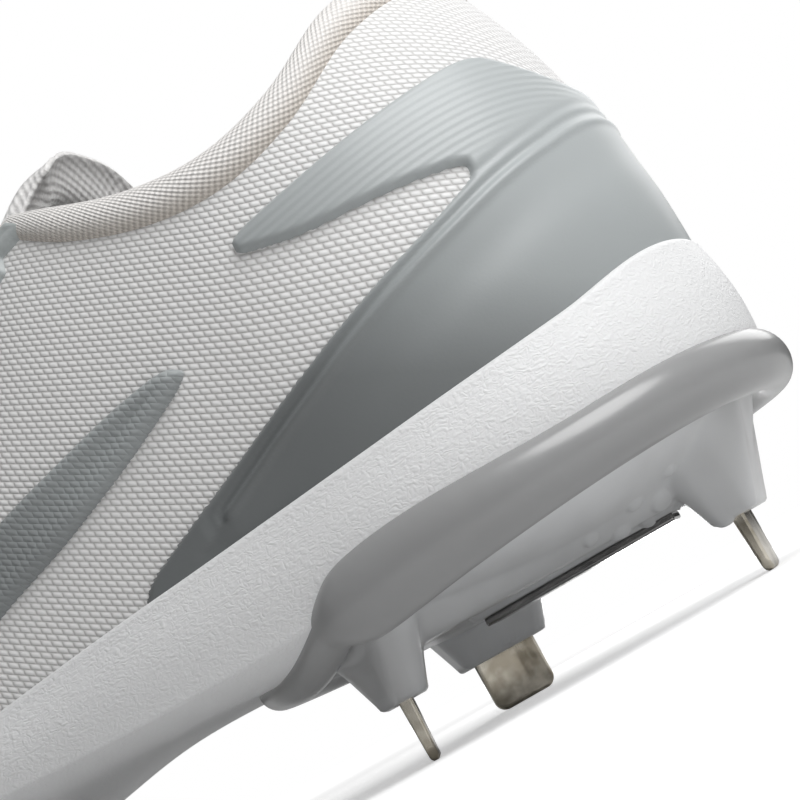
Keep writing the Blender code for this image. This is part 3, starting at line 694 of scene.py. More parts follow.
# Each plate's inner edge, from one side to the other: shares of length and of ball width
INNER_EDGES = {
    "heel": [(0.186, 0.388), (0.204, 0.352), (0.226, 0.298), (0.250, 0.228), (0.271, 0.140),
             (0.281, 0.050)],
    "fore": [(0.547, 0.500), (0.520, 0.330), (0.510, 0.150), (0.513, 0.030)],
}
RIM_RADIUS = 3.4 * MM
RIM_TALL = 4.1 * MM
HOLLOW_REACH = 17 * MM
BAR_MIDDLE, BAR_SEAT = (112.4 * MM, 0.0), 12.8 * MM


def blade_seat(name):
    share, across, turn, _ = BLADES[name]
    root = BLADE_DROP + float(spring(np.array(share)))
    return np.array([x_of(share), across * BALL_WIDTH, root]), math.radians(turn)


print("rear blade stands at:", blade_seat("heel_blade_rear")[0].round(4).tolist())

# %% [markdown]
# ## Shapes from distances
# A mould's soft joints can be sculpted or bevelled. Here they come from distances: how far
# a point is from a line or a box decides its height, and a smooth minimum blends two heights.


# %% Distances in a plane
def smooth_min(first, second, blend):
    near = np.maximum(blend - np.abs(first - second), 0) / blend
    return np.minimum(first, second) - near * near * blend / 4


def box_distance(x, y, middle, turn, half, corner):
    """Distance in plan to a rounded rectangle that is turned about its middle."""
    along = (x - middle[0]) * math.cos(turn) + (y - middle[1]) * math.sin(turn)
    aside = (y - middle[1]) * math.cos(turn) - (x - middle[0]) * math.sin(turn)
    dx, dy = np.abs(along) - half[0] + corner, np.abs(aside) - half[1] + corner
    outside = np.hypot(np.maximum(dx, 0), np.maximum(dy, 0))
    return outside + np.minimum(np.maximum(dx, dy), 0) - corner


def line_distance(x, y, start, end):
    run = np.array(end) - np.array(start)
    t = ((x - start[0]) * run[0] + (y - start[1]) * run[1]) / (run @ run)
    t = np.clip(t, 0, 1)
    return np.hypot(x - start[0] - run[0] * t, y - start[1] - run[1] * t)


def to_line(points, line, closed):
    """Distance in a plane to a line, and which side of it, nearest segment by segment."""
    flat = points.reshape(-1, 2)
    best = np.full(len(flat), 1e9)
    side = np.ones(len(flat))
    along = np.zeros(len(flat))
    inside = np.zeros(len(flat), bool)
    ends = np.roll(line, -1, 0) if closed else line[1:]
    starts = line if closed else line[:-1]
    walked = 0.0
    for a, b in zip(starts, ends):
        run = b - a
        length = max(1e-9, float(np.hypot(*run)))
        away = flat - a
        t = np.clip((away @ run) / length ** 2, 0, 1)
        gone = away - run * t[:, None]
        far = np.hypot(gone[:, 0], gone[:, 1])
        nearer = far < best
        best = np.where(nearer, far, best)
        side = np.where(nearer, np.sign(run[0] * away[:, 1] - run[1] * away[:, 0]), side)
        along = np.where(nearer, walked + t * length, along)
        walked += length
        if a[1] != b[1]:
            crosses = (a[1] > flat[:, 1]) != (b[1] > flat[:, 1])
            inside ^= crosses & (flat[:, 0] < a[0] + run[0] * (flat[:, 1] - a[1]) / run[1])
    sign = np.where(inside, 1, -1) if closed else side
    shape = points.shape[:-1]
    return (best * sign).reshape(shape), along.reshape(shape)


print("from (3, 0) to a line that ends at (1, 0):", line_distance(3.0, 0.0, (-1, 0), (1, 0)))

# %% [markdown]
# ## The two plates
# A plate is one moulding of milky plastic: a thick round rim, a hollow inside it, pedestals
# that grip the blades, and ribs between them. Boolean unions of blocks would leave hard
# joints. Here each plate is a fan of sections from its rim to its middle line, and pedestals
# and ribs are blended into the hollow with a smooth minimum, as soft as a real mould is.


# %% Round a plate's edge
def foam_height(x, y):
    """Underside of the foam at a point in plan, where the sides are nearly straight."""
    share = share_of(x)
    half = LAST.read("lateral", share) * BALL_WIDTH + WALL_OUT
    part = np.clip((half - np.abs(y)) / (PANEL_INSET + WALL_OUT), 0, 1)
    low = under_height(share)
    return low + (edge_height(share) - low) * (1 - part) ** 1.7


def softener(spread):
    """A function that evens out numbers round a ring, over about spread steps."""
    kernel = np.exp(-0.5 * (np.arange(-3 * spread, 3 * spread + 1) / spread) ** 2)
    kernel /= kernel.sum()

    def soften(values):
        long = np.concatenate([values[-3 * spread:], values, values[:3 * spread]])
        return np.convolve(long, kernel, "valid")

    return soften


def plate_stations(part, count):
    """Points round a plate's edge, their outward normals and how far each is on the wall."""
    inner = [(x_of(s), a * BALL_WIDTH) for s, a in INNER_EDGES[part]]
    out = WALL_OUT + GAP + RIM_OUT
    if part == "heel":
        place = np.linspace(-1.03, 1.03, 160)
        edge = inner
    else:
        first = float(place_of(0.562, -1))
        place = np.linspace(first, 6 - first, 260)
        edge = [(x, -y) for x, y in inner]
    arc = sole_points(place, np.full(len(place), out), 0.0)[:, :2]
    front = np.array([(x, -y) for x, y in edge] + list(reversed(edge)))
    ring = np.concatenate([arc, front, arc[:1]])
    wall = np.concatenate([np.ones(len(arc)), np.zeros(len(front)), [1.0]])
    far = np.concatenate([[0], np.cumsum(np.hypot(*np.diff(ring, axis=0).T))])
    even = np.linspace(0, far[-1], count, endpoint=False)
    spots = np.stack([np.interp(even, far, ring[:, i]) for i in (0, 1)], -1)
    wall = np.interp(even, far, wall)
    smooth = softener(max(2, round(2.6 * MM / (far[-1] / count))))
    softened = np.stack([smooth(spots[:, i]) for i in (0, 1)], -1)
    soft_wall = smooth(smooth(wall))
    amount = 1 - ease(0.90, 1.0, soft_wall)[:, None]
    spots = spots * (1 - amount) + softened * amount
    step = np.roll(spots, -1, 0) - np.roll(spots, 1, 0)
    normal = unit(np.stack([step[:, 1], -step[:, 0]], -1))
    middle = spots.mean(0)
    if ((spots - middle) * normal).sum() < 0:
        normal = -normal
    return spots, normal, soft_wall


print("stations round the heel plate:", len(plate_stations("heel", 420)[0]))

# %% [markdown]
# ## Ribs, pedestals and drops
# The hollow is a bowl. Ribs run from pedestal to pedestal, and each pedestal has a slit for
# its blade. A few drops of plastic stand out near the back, as left by a hot mould.

# %% Inside a plate
RIBS = {"heel": [(0, 2), (1, 2), (0, 1)],
        "fore": [(0, 1), (1, 2), (3, 4), (4, 5), (0, 3), (2, 5)]}
# Drops in mm: x, y, radius
DROPS = [(121.5, -9.0, 1.5), (125.5, -12.0, 1.2), (128.0, -8.2, 1.6), (124.5, -5.0, 1.1),
         (131.5, -11.5, 1.0), (118.5, -13.0, 1.1), (129.5, -3.6, 1.3), (122.0, -1.2, 0.9),
         (133.5, -6.4, 1.2)]


def plate_relief(part, x, y, bowl):
    """The hollow with its ribs, its pedestals and the seat of the bar."""
    height = bowl
    lift = spring(share_of(x))
    seats = [(name, *blade_seat(name)) for name in BLADES if BLADES[name][3] == part]
    floor = (HEEL_FLOOR if part == "heel" else FORE_FLOOR) + 0.2 * MM
    for a, b in RIBS[part]:
        away = line_distance(x, y, seats[a][1][:2], seats[b][1][:2])
        rib = floor + lift + np.maximum(0, away - 1.4 * MM) ** 2 / (7.5 * MM)
        height = smooth_min(height, rib, 1.6 * MM)
    for name, middle, turn in seats:
        away = box_distance(x, y, middle, turn, (BLADE_WIDTH / 2 + 2.2 * MM, 3.3 * MM), 1.6 * MM)
        block = middle[2] + 0.55 * MM * ease(-0.6 * MM, 0.4 * MM, away)
        block = block + np.maximum(0, away) * 2.6
        height = smooth_min(height, block, 1.5 * MM)
        slit = box_distance(x, y, middle, turn, (BLADE_WIDTH / 2, BLADE_THICK / 2), 0.3 * MM)
        height = height + 0.5 * MM * (1 - ease(0.1 * MM, 0.7 * MM, slit)) * (away < 0)
    if part == "heel":
        away = box_distance(x, y, BAR_MIDDLE, 0, (16.2 * MM, 4.4 * MM), 1.5 * MM)
        height = smooth_min(height, BAR_SEAT + np.maximum(0, away) * 1.6, 1.2 * MM)
    return height


def with_drops(height, x, y):
    for drop_x, drop_y, radius in DROPS:
        away = np.hypot(x - drop_x * MM, y - drop_y * MM) / (radius * MM)
        height = height - 0.45 * radius * MM * np.sqrt(np.maximum(0, 1 - away ** 2))
    return height


print("ribs:", {part: len(pairs) for part, pairs in RIBS.items()}, "drops:", len(DROPS))

# %% [markdown]
# ## Plates as fans of sections
# Each section starts on the foam's wall, goes round the rim and runs in to the middle line.

# %% Plates
MIDDLE_LINES = {"heel": ((x_of(0.10), 0), (x_of(0.232), 0)),
                "fore": ((x_of(0.555), -2 * MM), (x_of(0.895), 6 * MM))}


def make_plate(part, count):
    spots, normal, wall = plate_stations(part, count)
    ends = MIDDLE_LINES[part]
    run = np.array(ends[1]) - np.array(ends[0])
    t = np.clip(((spots - np.array(ends[0])) @ run) / (run @ run), 0, 1)
    target = np.array(ends[0]) + run * t[:, None]
    share = share_of(spots[:, 0])
    raised = 1.4 * MM * ease(0.05, 0.16, share) * (part == "heel")
    on_wall = cover_top(share) - RIM_TALL * 0.97 + raised
    below = foam_height(spots[:, 0], spots[:, 1]) - 0.3 * MM
    middle = below + (on_wall - below) * ease(0.0, 1.0, wall)
    tall = RIM_RADIUS * 0.9 + (RIM_TALL + raised - RIM_RADIUS * 0.9) * wall
    rings, insets = [], []
    for angle in np.radians(np.linspace(100, 322, 27)):
        inset = RIM_RADIUS * (1 + math.cos(angle))
        plan = spots - normal * inset
        height = middle + tall * math.sin(angle)
        rings.append(np.column_stack([plan, height]))
        insets.append(np.full(len(spots), inset))
    start = spots - normal * inset
    first = rings[-1][:, 2]
    step_height = first + 1.6 * MM
    for part_in in np.linspace(0, 1, 82)[1:]:
        plan = start + (target - start) * part_in
        inset = np.linalg.norm(plan - start, axis=-1)
        s = np.clip(inset / HOLLOW_REACH, 0, 1)
        centre = under_height(share_of(plan[:, 0])) - 1.2 * MM
        bowl = centre + (step_height - centre) * (1 - s) ** 1.6
        bowl = first + (bowl - first) * ease(0, 2.2 * MM, inset)
        height = plate_relief(part, plan[:, 0], plan[:, 1], bowl)
        height = first + (height - first) * ease(0, 1.0 * MM, inset)
        if part == "heel":
            height = with_drops(height, plan[:, 0], plan[:, 1])
        rings.append(np.column_stack([plan, height]))
        insets.append(inset + 2 * RIM_RADIUS)
    depth = np.stack(insets, 1)
    return grid(part + "_plate_moulding", np.stack(rings, 1), wrap_rows=True,
                cloth=np.stack([depth, depth], -1))


print("a heel plate's middle line, mm:", [round(x / MM, 1) for x, _ in MIDDLE_LINES["heel"]])

# %% [markdown]
# ## Milky plastic
# The thick rim is painted a darker grey as painted shade, and the thinner plastic inside is cloudy.
# Real glass-like depth renders slowly and noisily, so the two looks are mixed by the
# distance from the rim, with a little subsurface scattering and a coat for the wet gloss.


# %% Milky plastic
def milky_plastic():
    """Translucent moulded plastic: a darker grey painted into its thick rim as shade, cloudy inside,
    with a wet gloss.
    """
    plastic = Finish("milky_plastic", Coat_Weight=0.6, Coat_Roughness=0.18,
                     Subsurface_Weight=0.20, Subsurface_Radius=(0.004, 0.004, 0.004), IOR=1.5)
    inset, _ = plastic.cloth()
    cloud = plastic.noise(38, 3, 0.55)
    flow = plastic.noise(150, 2, 0.5, stretch=(1.0, 0.45, 1.0))
    # Painted shade: the thick rim gets a darker grey; the mask thin is 0 in the rim and 1 past it.
    thin = (inset / MM + cloud * 3).between(6.0, 13.0)
    rim_painted_shade = plastic.mix(cloud, grey(0.26, -0.004), grey(0.34, -0.008))
    clear = plastic.mix(cloud.between(0.25, 0.75), grey(0.56, -0.010), grey(0.78, -0.014))
    return plastic.use(Base_Color=plastic.mix(thin, rim_painted_shade, clear), Roughness=0.29 + flow * 0.10,
                       Normal=plastic.bump(flow, 0.5 * MM, 0.35))


MILKY = milky_plastic()
dress(make_plate("heel", 420), MILKY, "heel_plate")
dress(make_plate("fore", 560), MILKY, "forefoot_plate")

# %% [markdown]
# ## The blades
# Each blade is a stamped steel plate with ground faces: two facets meet in a line a little
# off the middle, and the lower corners are round. A Bevel modifier on a box could round the
# corners, but not grind the faces, so each blade is two small grids sewn at the edge.


# %% Blades
def make_blade(name):
    middle, turn = blade_seat(name)
    half, corner = BLADE_WIDTH / 2, 1.8 * MM
    across = half * np.sin(np.linspace(-RIGHT_ANGLE, RIGHT_ANGLE, 41))
    over = np.maximum(0, np.abs(across) - (half - corner))
    tip = -BLADE_DROP + corner - np.sqrt(np.maximum(0, corner ** 2 - over ** 2))
    top = 3.0 * MM
    z = top + (tip[:, None] - top) * np.sin(np.linspace(0, RIGHT_ANGLE, 30))[None, :]
    ridge = 0.12 * half
    steep, flat = (across - ridge) / (half - ridge), (ridge - across) * 0.35 / half
    facet = np.where(across > ridge, steep, flat)
    edge = np.minimum(half - np.abs(across)[:, None], z - tip[:, None])
    bevel = 0.35 * MM * (1 - np.clip(edge / (0.45 * MM), 0, 1)) ** 1.5
    taper = 0.25 * MM * np.clip(-z / BLADE_DROP, 0, 1)
    thick = BLADE_THICK / 2 - 0.32 * MM * facet[:, None] - bevel - taper
    sheets = []
    for side in (1, -1):
        x = middle[0] + across[:, None] * math.cos(turn) - side * thick * math.sin(turn)
        y = middle[1] + across[:, None] * math.sin(turn) + side * thick * math.cos(turn)
        sheets.append(np.stack([x, y, middle[2] + z], -1))
    return grid(name.replace("blade", "spike"), folded(*sheets), wrap_columns=True)


def blade_steel():
    """Polished steel with a faint champagne tint, fine grinding lines and duller smudges."""
    steel = Finish("blade_steel", Metallic=1.0, Anisotropic=0.3)
    lines = steel.noise(900, 2, stretch=(1.0, 1.0, 0.06))
    smudge = steel.noise(240, 3)
    colour = steel.mix(smudge.between(0.35, 0.65), (0.40, 0.36, 0.29, 1), (0.78, 0.73, 0.63, 1))
    return steel.use(Base_Color=colour, Roughness=0.08 + smudge * 0.14 + lines * 0.05,
                     Normal=steel.bump(lines, 0.05 * MM, 0.5))


STEEL = blade_steel()
for name in BLADES:
    spike = dress(make_blade(name), STEEL, name)
    spike.data.set_sharp_from_angle(angle=math.radians(24))

# %% [markdown]
# ## The midsole
# White foam laps the upper with a soft edge. A bevelled block would do from afar, but the
# photograph looks up at it: its side has a crinkle like leather, and its underside swells
# out between the two plates. It is a stack of rings round the seat of the upper.


# %% Midsole
def under_point(place, part):
    """A point of the underside, from the side wall's foot (0) to the panel's edge (1)."""
    col = Columns(place)
    wall = sole_points(place, WALL_OUT * np.ones_like(place), edge_height(col.share))
    panel = col.base + unit(col.spine - col.base) * PANEL_INSET
    point = wall + (panel - wall) * part
    low = under_height(col.share)
    point[..., 2] = low + (edge_height(col.share) - low) * (1 - part) ** 1.7
    return point


def make_midsole():
    place = foot_places(60, 110, 40)
    col = Columns(place)
    rings = []
    lip_rise = rise_at_height(place, lip_top(col.share))
    rings.append(surface(place, rise_at_height(place, footbed_height(col.share) + 2 * MM),
                         np.full(len(place), -0.2 * MM)))
    seat = surface(place, lip_rise, np.full(len(place), 0.1 * MM))
    rings.append(seat)
    top = lip_top(col.share)
    low = edge_height(col.share)
    roll = 1.1 * MM
    for angle in np.linspace(90, 0, 7):
        a = math.radians(angle)
        out = WALL_OUT - roll + roll * math.cos(a)
        ring = sole_points(place, np.full(len(place), out), top - roll + roll * math.sin(a))
        pull = ease(60, 90, angle)
        rings.append(ring * (1 - pull * 0.35) + seat * pull * 0.35)
    for part in np.linspace(0.06, 1, 26):
        belly = math.sin(part * math.pi) * 0.9 * MM
        height = top - roll + (low - top + roll) * part
        rings.append(sole_points(place, np.full(len(place), WALL_OUT + belly), height))
    for part in np.linspace(0.02, 1, 34):
        rings.append(under_point(place, part))
    panel = rings[-1].copy()
    inside = unit(col.spine - col.base)
    reach = np.linalg.norm((col.spine - panel)[:, :2], axis=-1)
    for part in np.linspace(0.1, 1, 10):
        ring = panel + inside * (reach * part)[:, None]
        ring[:, 2] = under_height(share_of(ring[:, 0]))
        rings.append(ring)
    points = np.stack(rings, 1)
    under = points[:, -45:]         # the underside, sunk where a plate's hollow covers it
    for part, deep in (("heel", 10 * MM), ("fore", 5 * MM)):
        within, _ = to_line(under[..., :2], plate_stations(part, 300)[0], True)
        under[..., 2] += deep * ease(RIM_RADIUS * 0.9, RIM_RADIUS * 1.6, within)
    roof = footbed_height(share_of(under[..., 0])) - 1.5 * MM
    under[..., 2] = np.minimum(under[..., 2], roof)
    return grid("midsole_foam", points, wrap_rows=True, cloth=threads(run_along(seat), walk(points)))


midsole = make_midsole()
print("midsole points:", len(midsole.data.vertices))

# %% [markdown]
# ## Crinkled foam
# The foam's skin is wrinkled like glove leather. A Voronoi pattern would show cells, so the
# folds are the zero lines of a noise, which is itself bent by a second noise.


# %% Crinkled foam
def crinkled_foam():
    """Moulded foam with a fine crinkle like glove leather."""
    foam = Finish("crinkled_foam", Subsurface_Weight=0.05, Subsurface_Radius=(0.002, 0.002, 0.002))
    bend = foam.node("TexNoise", values={"Vector": foam.place(), "Scale": 600.0}, output=1)
    bent = foam.node("VectorMath", {"operation": "MULTIPLY_ADD"},
                     {0: bend, 1: (0.0011, 0.0011, 0.0011), 2: foam.place()})
    strokes = foam.noise(1500, 1, 0.5, bent, (0.70, 0.70, 1.15))
    fine = foam.noise(1900, 2, 0.55, bent)
    patch = foam.noise(110, 2)
    crinkle = (strokes - 0.5).size() * (2.2 + patch * 1.6) + fine * 0.45
    colour = foam.mix(patch * 0.6 + fine * 0.3, grey(0.78, -0.006), grey(0.84, -0.004))
    return foam.use(Base_Color=colour, Roughness=0.42 + fine * 0.16,
                    Normal=foam.bump(crinkle, 0.10 * MM, 0.75))


dress(midsole, crinkled_foam(), "midsole")

# %% [markdown]
# ## Moulded overlays
# The grey pieces are thin film, hot-pressed onto the textile: counter, side bands and toe.
# Cutting them out with booleans would give hard, jagged rims. Each is a fine grid over the
# upper whose height depends on how far a point lies inside the piece's outline in the side
# view. So rim, crease and ribs are all one function of a few distances.

# %% Outlines seen from the side: shares of the length, and of the collar's height
COUNTER_OUTLINE = [
    (-0.080, 0.700), (0.000, 0.708), (0.014, 0.752), (0.029, 0.796), (0.064, 0.768),
    (0.108, 0.738), (0.148, 0.716), (0.148, 0.694), (0.119, 0.668), (0.074, 0.658),
    (0.049, 0.648), (0.049, 0.622), (0.072, 0.588), (0.111, 0.545), (0.161, 0.490),
    (0.216, 0.425), (0.262, 0.370), (0.262, 0.200), (-0.080, 0.200)]
BAND_OUTLINE = [
    (0.195, 0.602), (0.204, 0.619), (0.236, 0.612), (0.307, 0.571), (0.400, 0.480),
    (0.480, 0.350), (0.480, 0.200), (0.411, 0.200), (0.411, 0.335), (0.330, 0.455),
    (0.284, 0.493), (0.240, 0.539), (0.204, 0.584)]
CREASE = [
    (-0.030, 0.690), (-0.002, 0.658), (0.020, 0.624), (0.043, 0.597), (0.063, 0.572),
    (0.097, 0.534), (0.122, 0.505), (0.144, 0.477), (0.170, 0.446), (0.205, 0.402)]
# The toe's outline instead counts its heights from the foam's lip, in shares of the instep
TOE_OUTLINE = [
    (0.790, -0.115), (0.800, 0.034), (0.850, 0.100), (0.915, 0.148), (0.985, 0.124),
    (1.080, 0.123), (1.080, -0.280)]
FILM = 1.1 * MM
SIDE_VIEW = [0, 2]


def in_side_view(pairs):
    return np.array([(x_of(share), height * COLLAR_HEIGHT) for share, height in pairs])


def over_the_lip(pairs):
    lip = [float(lip_top(min(share, 1.0))) for share, _ in pairs]
    return np.array([(x_of(share), low + height * INSTEP_HEIGHT)
                     for (share, height), low in zip(pairs, lip)])


def rounded(corners, turns=8):
    """Each corner becomes a short curve between its neighbours' halves."""
    t = np.linspace(0, 1, turns + 1)[:, None]
    before = corners + (np.roll(corners, 1, 0) - corners) * 0.32
    after = corners + (np.roll(corners, -1, 0) - corners) * 0.32
    bends = [(b + (c - b) * t) * (1 - t) + (c + (a - c) * t) * t
             for b, c, a in zip(before, corners, after)]
    return np.concatenate(bends)


def inside_outline(points, outline):
    """How far each point lies inside a rounded outline, in the side view."""
    return to_line(points[..., SIDE_VIEW], rounded(outline), True)[0]


print("counter's outline has", len(rounded(in_side_view(COUNTER_OUTLINE))), "points")

# %% [markdown]
# ## Reliefs of the films
# A film is sunk into the cloth outside its outline, rises softly at its rim, and carries its
# own grooves, crests and dishes. Each is a short sum of bumps of those distances.


# %% Films
def edge_profile(inside, thick=FILM, soft=0.9 * MM):
    """Height of a film over the upper: sunk outside its outline, soft at the rim."""
    t = np.clip((inside + 0.25 * MM) / soft, 0, 1)
    return -0.35 * MM + (thick + 0.35 * MM) * np.sqrt(1 - (1 - t) ** 2)


def film_over(name, place, low, high, rows, relief):
    """A film over part of the upper; relief gives its height from the points below it."""
    rise = rises_between(place, low, high, rows)
    spots = place[:, None] + 0 * rise
    below = profile(spots, rise)
    height, shown = relief(below)
    normal = outward(spots, rise)
    top = below + normal * height[..., None]
    return grid(name, top, cloth=thread_place(place, below, rise), keep=shown)


def from_the_lip(place):
    """Rises a little below the foam's lip, where a film's lower edge hides."""
    return rise_at_height(place, lip_top(Columns(place).share) - 2.0 * MM)


def counter_relief(below):
    inside = inside_outline(below, in_side_view(COUNTER_OUTLINE))
    off, along = to_line(below[..., SIDE_VIEW], in_side_view(CREASE), False)
    off = -off / MM
    strength = 0.35 + 0.65 * ease(6, 34, along / MM) * (1 - 0.4 * ease(60, 90, along / MM))
    crest = 0.62 * np.exp(-(off / 0.55) ** 2)
    grooves = -0.62 * np.exp(-((off - 1.25) / 0.55) ** 2) - 0.34 * np.exp(-((off - 2.9) / 0.6) ** 2)
    dish = -0.50 * np.exp(-((off + 4.5) / 3.4) ** 2)
    height = edge_profile(inside) + (crest + grooves + dish) * strength * MM
    height = np.where(inside > -0.2 * MM, np.maximum(height, 0.25 * MM * (inside > 0.4 * MM)), height)
    return height, inside > -1.0 * MM


def band_relief(below):
    inside = inside_outline(below, in_side_view(BAND_OUTLINE))
    rim = 0.45 * MM * np.exp(-((inside - 1.3 * MM) / (0.8 * MM)) ** 2)
    dish = 0.30 * MM * ease(1.5 * MM, 4.0 * MM, inside)
    return edge_profile(inside, 1.2 * MM) + rim - dish, inside > -1.0 * MM


def toe_relief(below):
    inside = inside_outline(below, over_the_lip(TOE_OUTLINE))
    rim = 0.25 * MM * np.exp(-((inside - 1.2 * MM) / (0.8 * MM)) ** 2)
    return edge_profile(inside) + rim, inside > -1.0 * MM


print("film over the cloth, mm:", round(float(edge_profile(np.array(0.01))) / MM, 2))

# %% [markdown]
# ## The film's finish
# The film's own grey is painted darker towards the sole and paler towards the top and the heel,
# as painted shade along the light's direction, by a colour ramp over the height. Fine ribs stand
# above the counter's crease, and the bands show the weave below them.


# %% Film finish
def cool(value):
    return (value * 0.94, value, value * 1.01, 1.0)


def moulded_film(name, stops, ribs, bumps):
    """Satin film with painted shade, darker towards the sole and paler up towards the light, that
    shows the weave below it.
    """
    film = Finish(name, Coat_Weight=0.12, Coat_Roughness=0.25)
    along, down = film.cloth()
    x, y, z = (film.node("SeparateXYZ", values={0: film.place()}, output=i) for i in range(3))
    over_crease = (z / MM - x / MM * 0.404).between(5.5, 9.0)
    rib = (down / (1.1 * MM) * (2 * math.pi)).wave() * over_crease
    cloud = film.noise(70, 2)
    grain = film.noise(2600, 2)
    height = rib * ribs + bricks(film) * bumps + grain * 0.05
    low, high = stops[0][0], stops[-1][0]
    # Painted shade: the level runs up and towards the heel along the light's direction, and the ramp
    # darkens the film towards the sole.
    level = z / MM * 0.87 + x / MM * 0.47 + cloud * 3
    ramp = [((at - low) / (high - low), cool(tone)) for at, tone in stops]
    colour = film.node("ValToRGB", {"stops": ramp}, {0: (level - low) / (high - low)})
    return film.use(Base_Color=colour, Roughness=0.38 + grain * 0.10 + cloud * 0.05,
                    Normal=film.bump(height, 0.30 * MM, 0.8))


def side_span(first_share, last_share, count, side):
    shares = np.linspace(first_share, last_share, count)
    turns = place_of(shares, side)
    return turns if side < 0 else turns[::-1]


# Painted shade over the film's own grey: level in mm along the light's direction, and tone
COUNTER_SHADE_TONES = [(84, 0.17), (91, 0.19), (97, 0.27), (102, 0.35), (112, 0.42), (124, 0.46)]
BAND_SHADE_TONES = [(20, 0.30), (50, 0.28), (70, 0.27), (80, 0.36)]
COUNTER_FILM = moulded_film("counter_film", COUNTER_SHADE_TONES, 0.10, 0.0)
BAND_FILM = moulded_film("band_film", BAND_SHADE_TONES, 0.0, 0.55)
COUNTER_TOP, BAND_TOP, TOE_TOP = (COLLAR_HEIGHT * part for part in (0.825, 0.625, 0.56))
print("film materials:", COUNTER_FILM.name, BAND_FILM.name)

# %% [markdown]
# ## Films in place
# Each film's grid spans only the part of the upper that its outline needs, from just under
# the foam's lip. One grid over the whole foot would waste most of its points.

# %% Counter, bands and toe
place = np.linspace(-1.26, 1.26, 520)
counter = film_over("heel_counter_film", place, from_the_lip(place),
                    rise_at_height(place, COUNTER_TOP), 122, counter_relief)
dress(counter, COUNTER_FILM, "heel_counter")

for side, word in ((-1, "lateral"), (1, "medial")):
    place = side_span(0.188, 0.495, 260, side)
    band = film_over("side_band_" + word, place, from_the_lip(place),
                     rise_at_height(place, BAND_TOP), 92, band_relief)
    if side > 0:
        band.data.flip_normals()
    dress(band, BAND_FILM, "side_overlay_" + word)

place = np.linspace(2.15, 3.85, 330)
high_edge = rise_at_height(place, np.minimum(TOE_TOP, Columns(place).crown - 1 * MM))
toe_film = film_over("toe_film", place, from_the_lip(place), high_edge, 84, toe_relief)
dress(toe_film, BAND_FILM, "toe_overlay")

# %% [markdown]
# ## Eyestays
# The facing that carries the lace holes follows the throat at an even distance and turns
# round its front end. A strip along each side would leave that end open, so the distance to
# the throat's edge itself shapes the piece. Each hole is a small pit in the same grid.

# %% Eyestays
EYELET_SHARES = (0.285, 0.342, 0.399, 0.456, 0.513, 0.570)
EYELET_INSET = 7.5 * MM
STAY_WIDTH = 15.0 * MM


def eyelet_spot(share, side):
    place = np.array([float(place_of(share, side))])
    rise, far = up_the_wall(place, edge_rise(place), 400)
    return place[0], float(np.interp(far[0, -1] - EYELET_INSET, far[0], rise[0]))


EYELETS = {(share, side): eyelet_spot(share, side) for share in EYELET_SHARES for side in (-1, 1)}
EYELET_POINTS = np.array([profile(place, rise) for place, rise in EYELETS.values()])
print("eyelets:", len(EYELETS), "the first at:", EYELET_POINTS[0].round(4).tolist())


# %% Relief of an eyestay
def stay_relief(below):
    edge_place = place_of(np.linspace(0.20, THROAT_END, 260), below[..., 1].mean())
    edge = profile(edge_place, edge_rise(edge_place))
    flat = below.reshape(-1, 3)
    away = np.full(len(flat), 1e9)
    for point in edge:
        away = np.minimum(away, np.linalg.norm(flat - point, axis=1))
    away = away.reshape(below.shape[:-1])
    share = share_of(below[..., 0])
    wide = STAY_WIDTH * (0.40 + 0.60 * ease(0.245, 0.32, share))
    start, end = in_side_view([(0.234, 0.947), (0.262, 0.929)])
    slope = (end[1] - start[1]) / (end[0] - start[0])
    over_corner = below[..., 2] - start[1] - slope * (below[..., 0] - start[0])
    corner = np.maximum(over_corner, (share - 0.262) * LENGTH)
    inside = np.minimum(np.minimum(wide - away, away - 0.5 * MM), (share - 0.228) * LENGTH)
    inside = np.minimum(inside, corner)
    height = edge_profile(inside, 1.1 * MM)
    height += 0.22 * MM * np.exp(-((inside - 1.0 * MM) / (0.6 * MM)) ** 2)
    for point in EYELET_POINTS:
        hole = np.linalg.norm(below - point, axis=-1)
        height += 0.35 * MM * np.exp(-((hole - 2.9 * MM) / (0.5 * MM)) ** 2)
        height -= 2.2 * MM * (1 - ease(1.6 * MM, 2.3 * MM, hole))
    return height, inside > -1.0 * MM


print("a hole's depth, mm:", round(-float(stay_relief(EYELET_POINTS[:1])[0][0]) / MM, 2))


# %% Both eyestays
def stay_film():
    """Smooth grey film with a fine grain."""
    film = Finish("stay_film", Roughness=0.42, Coat_Weight=0.1, Coat_Roughness=0.3)
    grain = film.noise(1800, 3)
    cloud = film.noise(60, 2)
    colour = film.mix(cloud, (0.36, 0.39, 0.39, 1), (0.47, 0.50, 0.50, 1))
    return film.use(Base_Color=colour, Roughness=0.38 + grain * 0.12,
                    Normal=film.bump(grain, 0.12 * MM, 0.7))


STAY = stay_film()
for side, word in ((-1, "lateral"), (1, "medial")):
    place = side_span(0.222, 0.676, 420, side)
    top = edge_rise(place)
    reach, far = up_the_wall(place, top, 200)
    strip = STAY_WIDTH + (3.5 + 12 * ease(0.54, 0.60, Columns(place).share)) * MM
    start = np.array([np.interp(f[-1] - s, f, r) for f, r, s in zip(far, reach, strip)])
    stay = film_over("eyestay_film_" + word, place, start, top, 74, stay_relief)
    if side > 0:
        stay.data.flip_normals()
    dress(stay, STAY, "eyestay_" + word)

# %% [markdown]
# ## The collar's knit roll
# The collar's edge is bound with a thick knit tube. A curve with a round bevel would do, but
# a grid keeps the twill running along it, and lets the roll thin out towards its ends.


# %% Collar roll
ROLL_TURN = 30


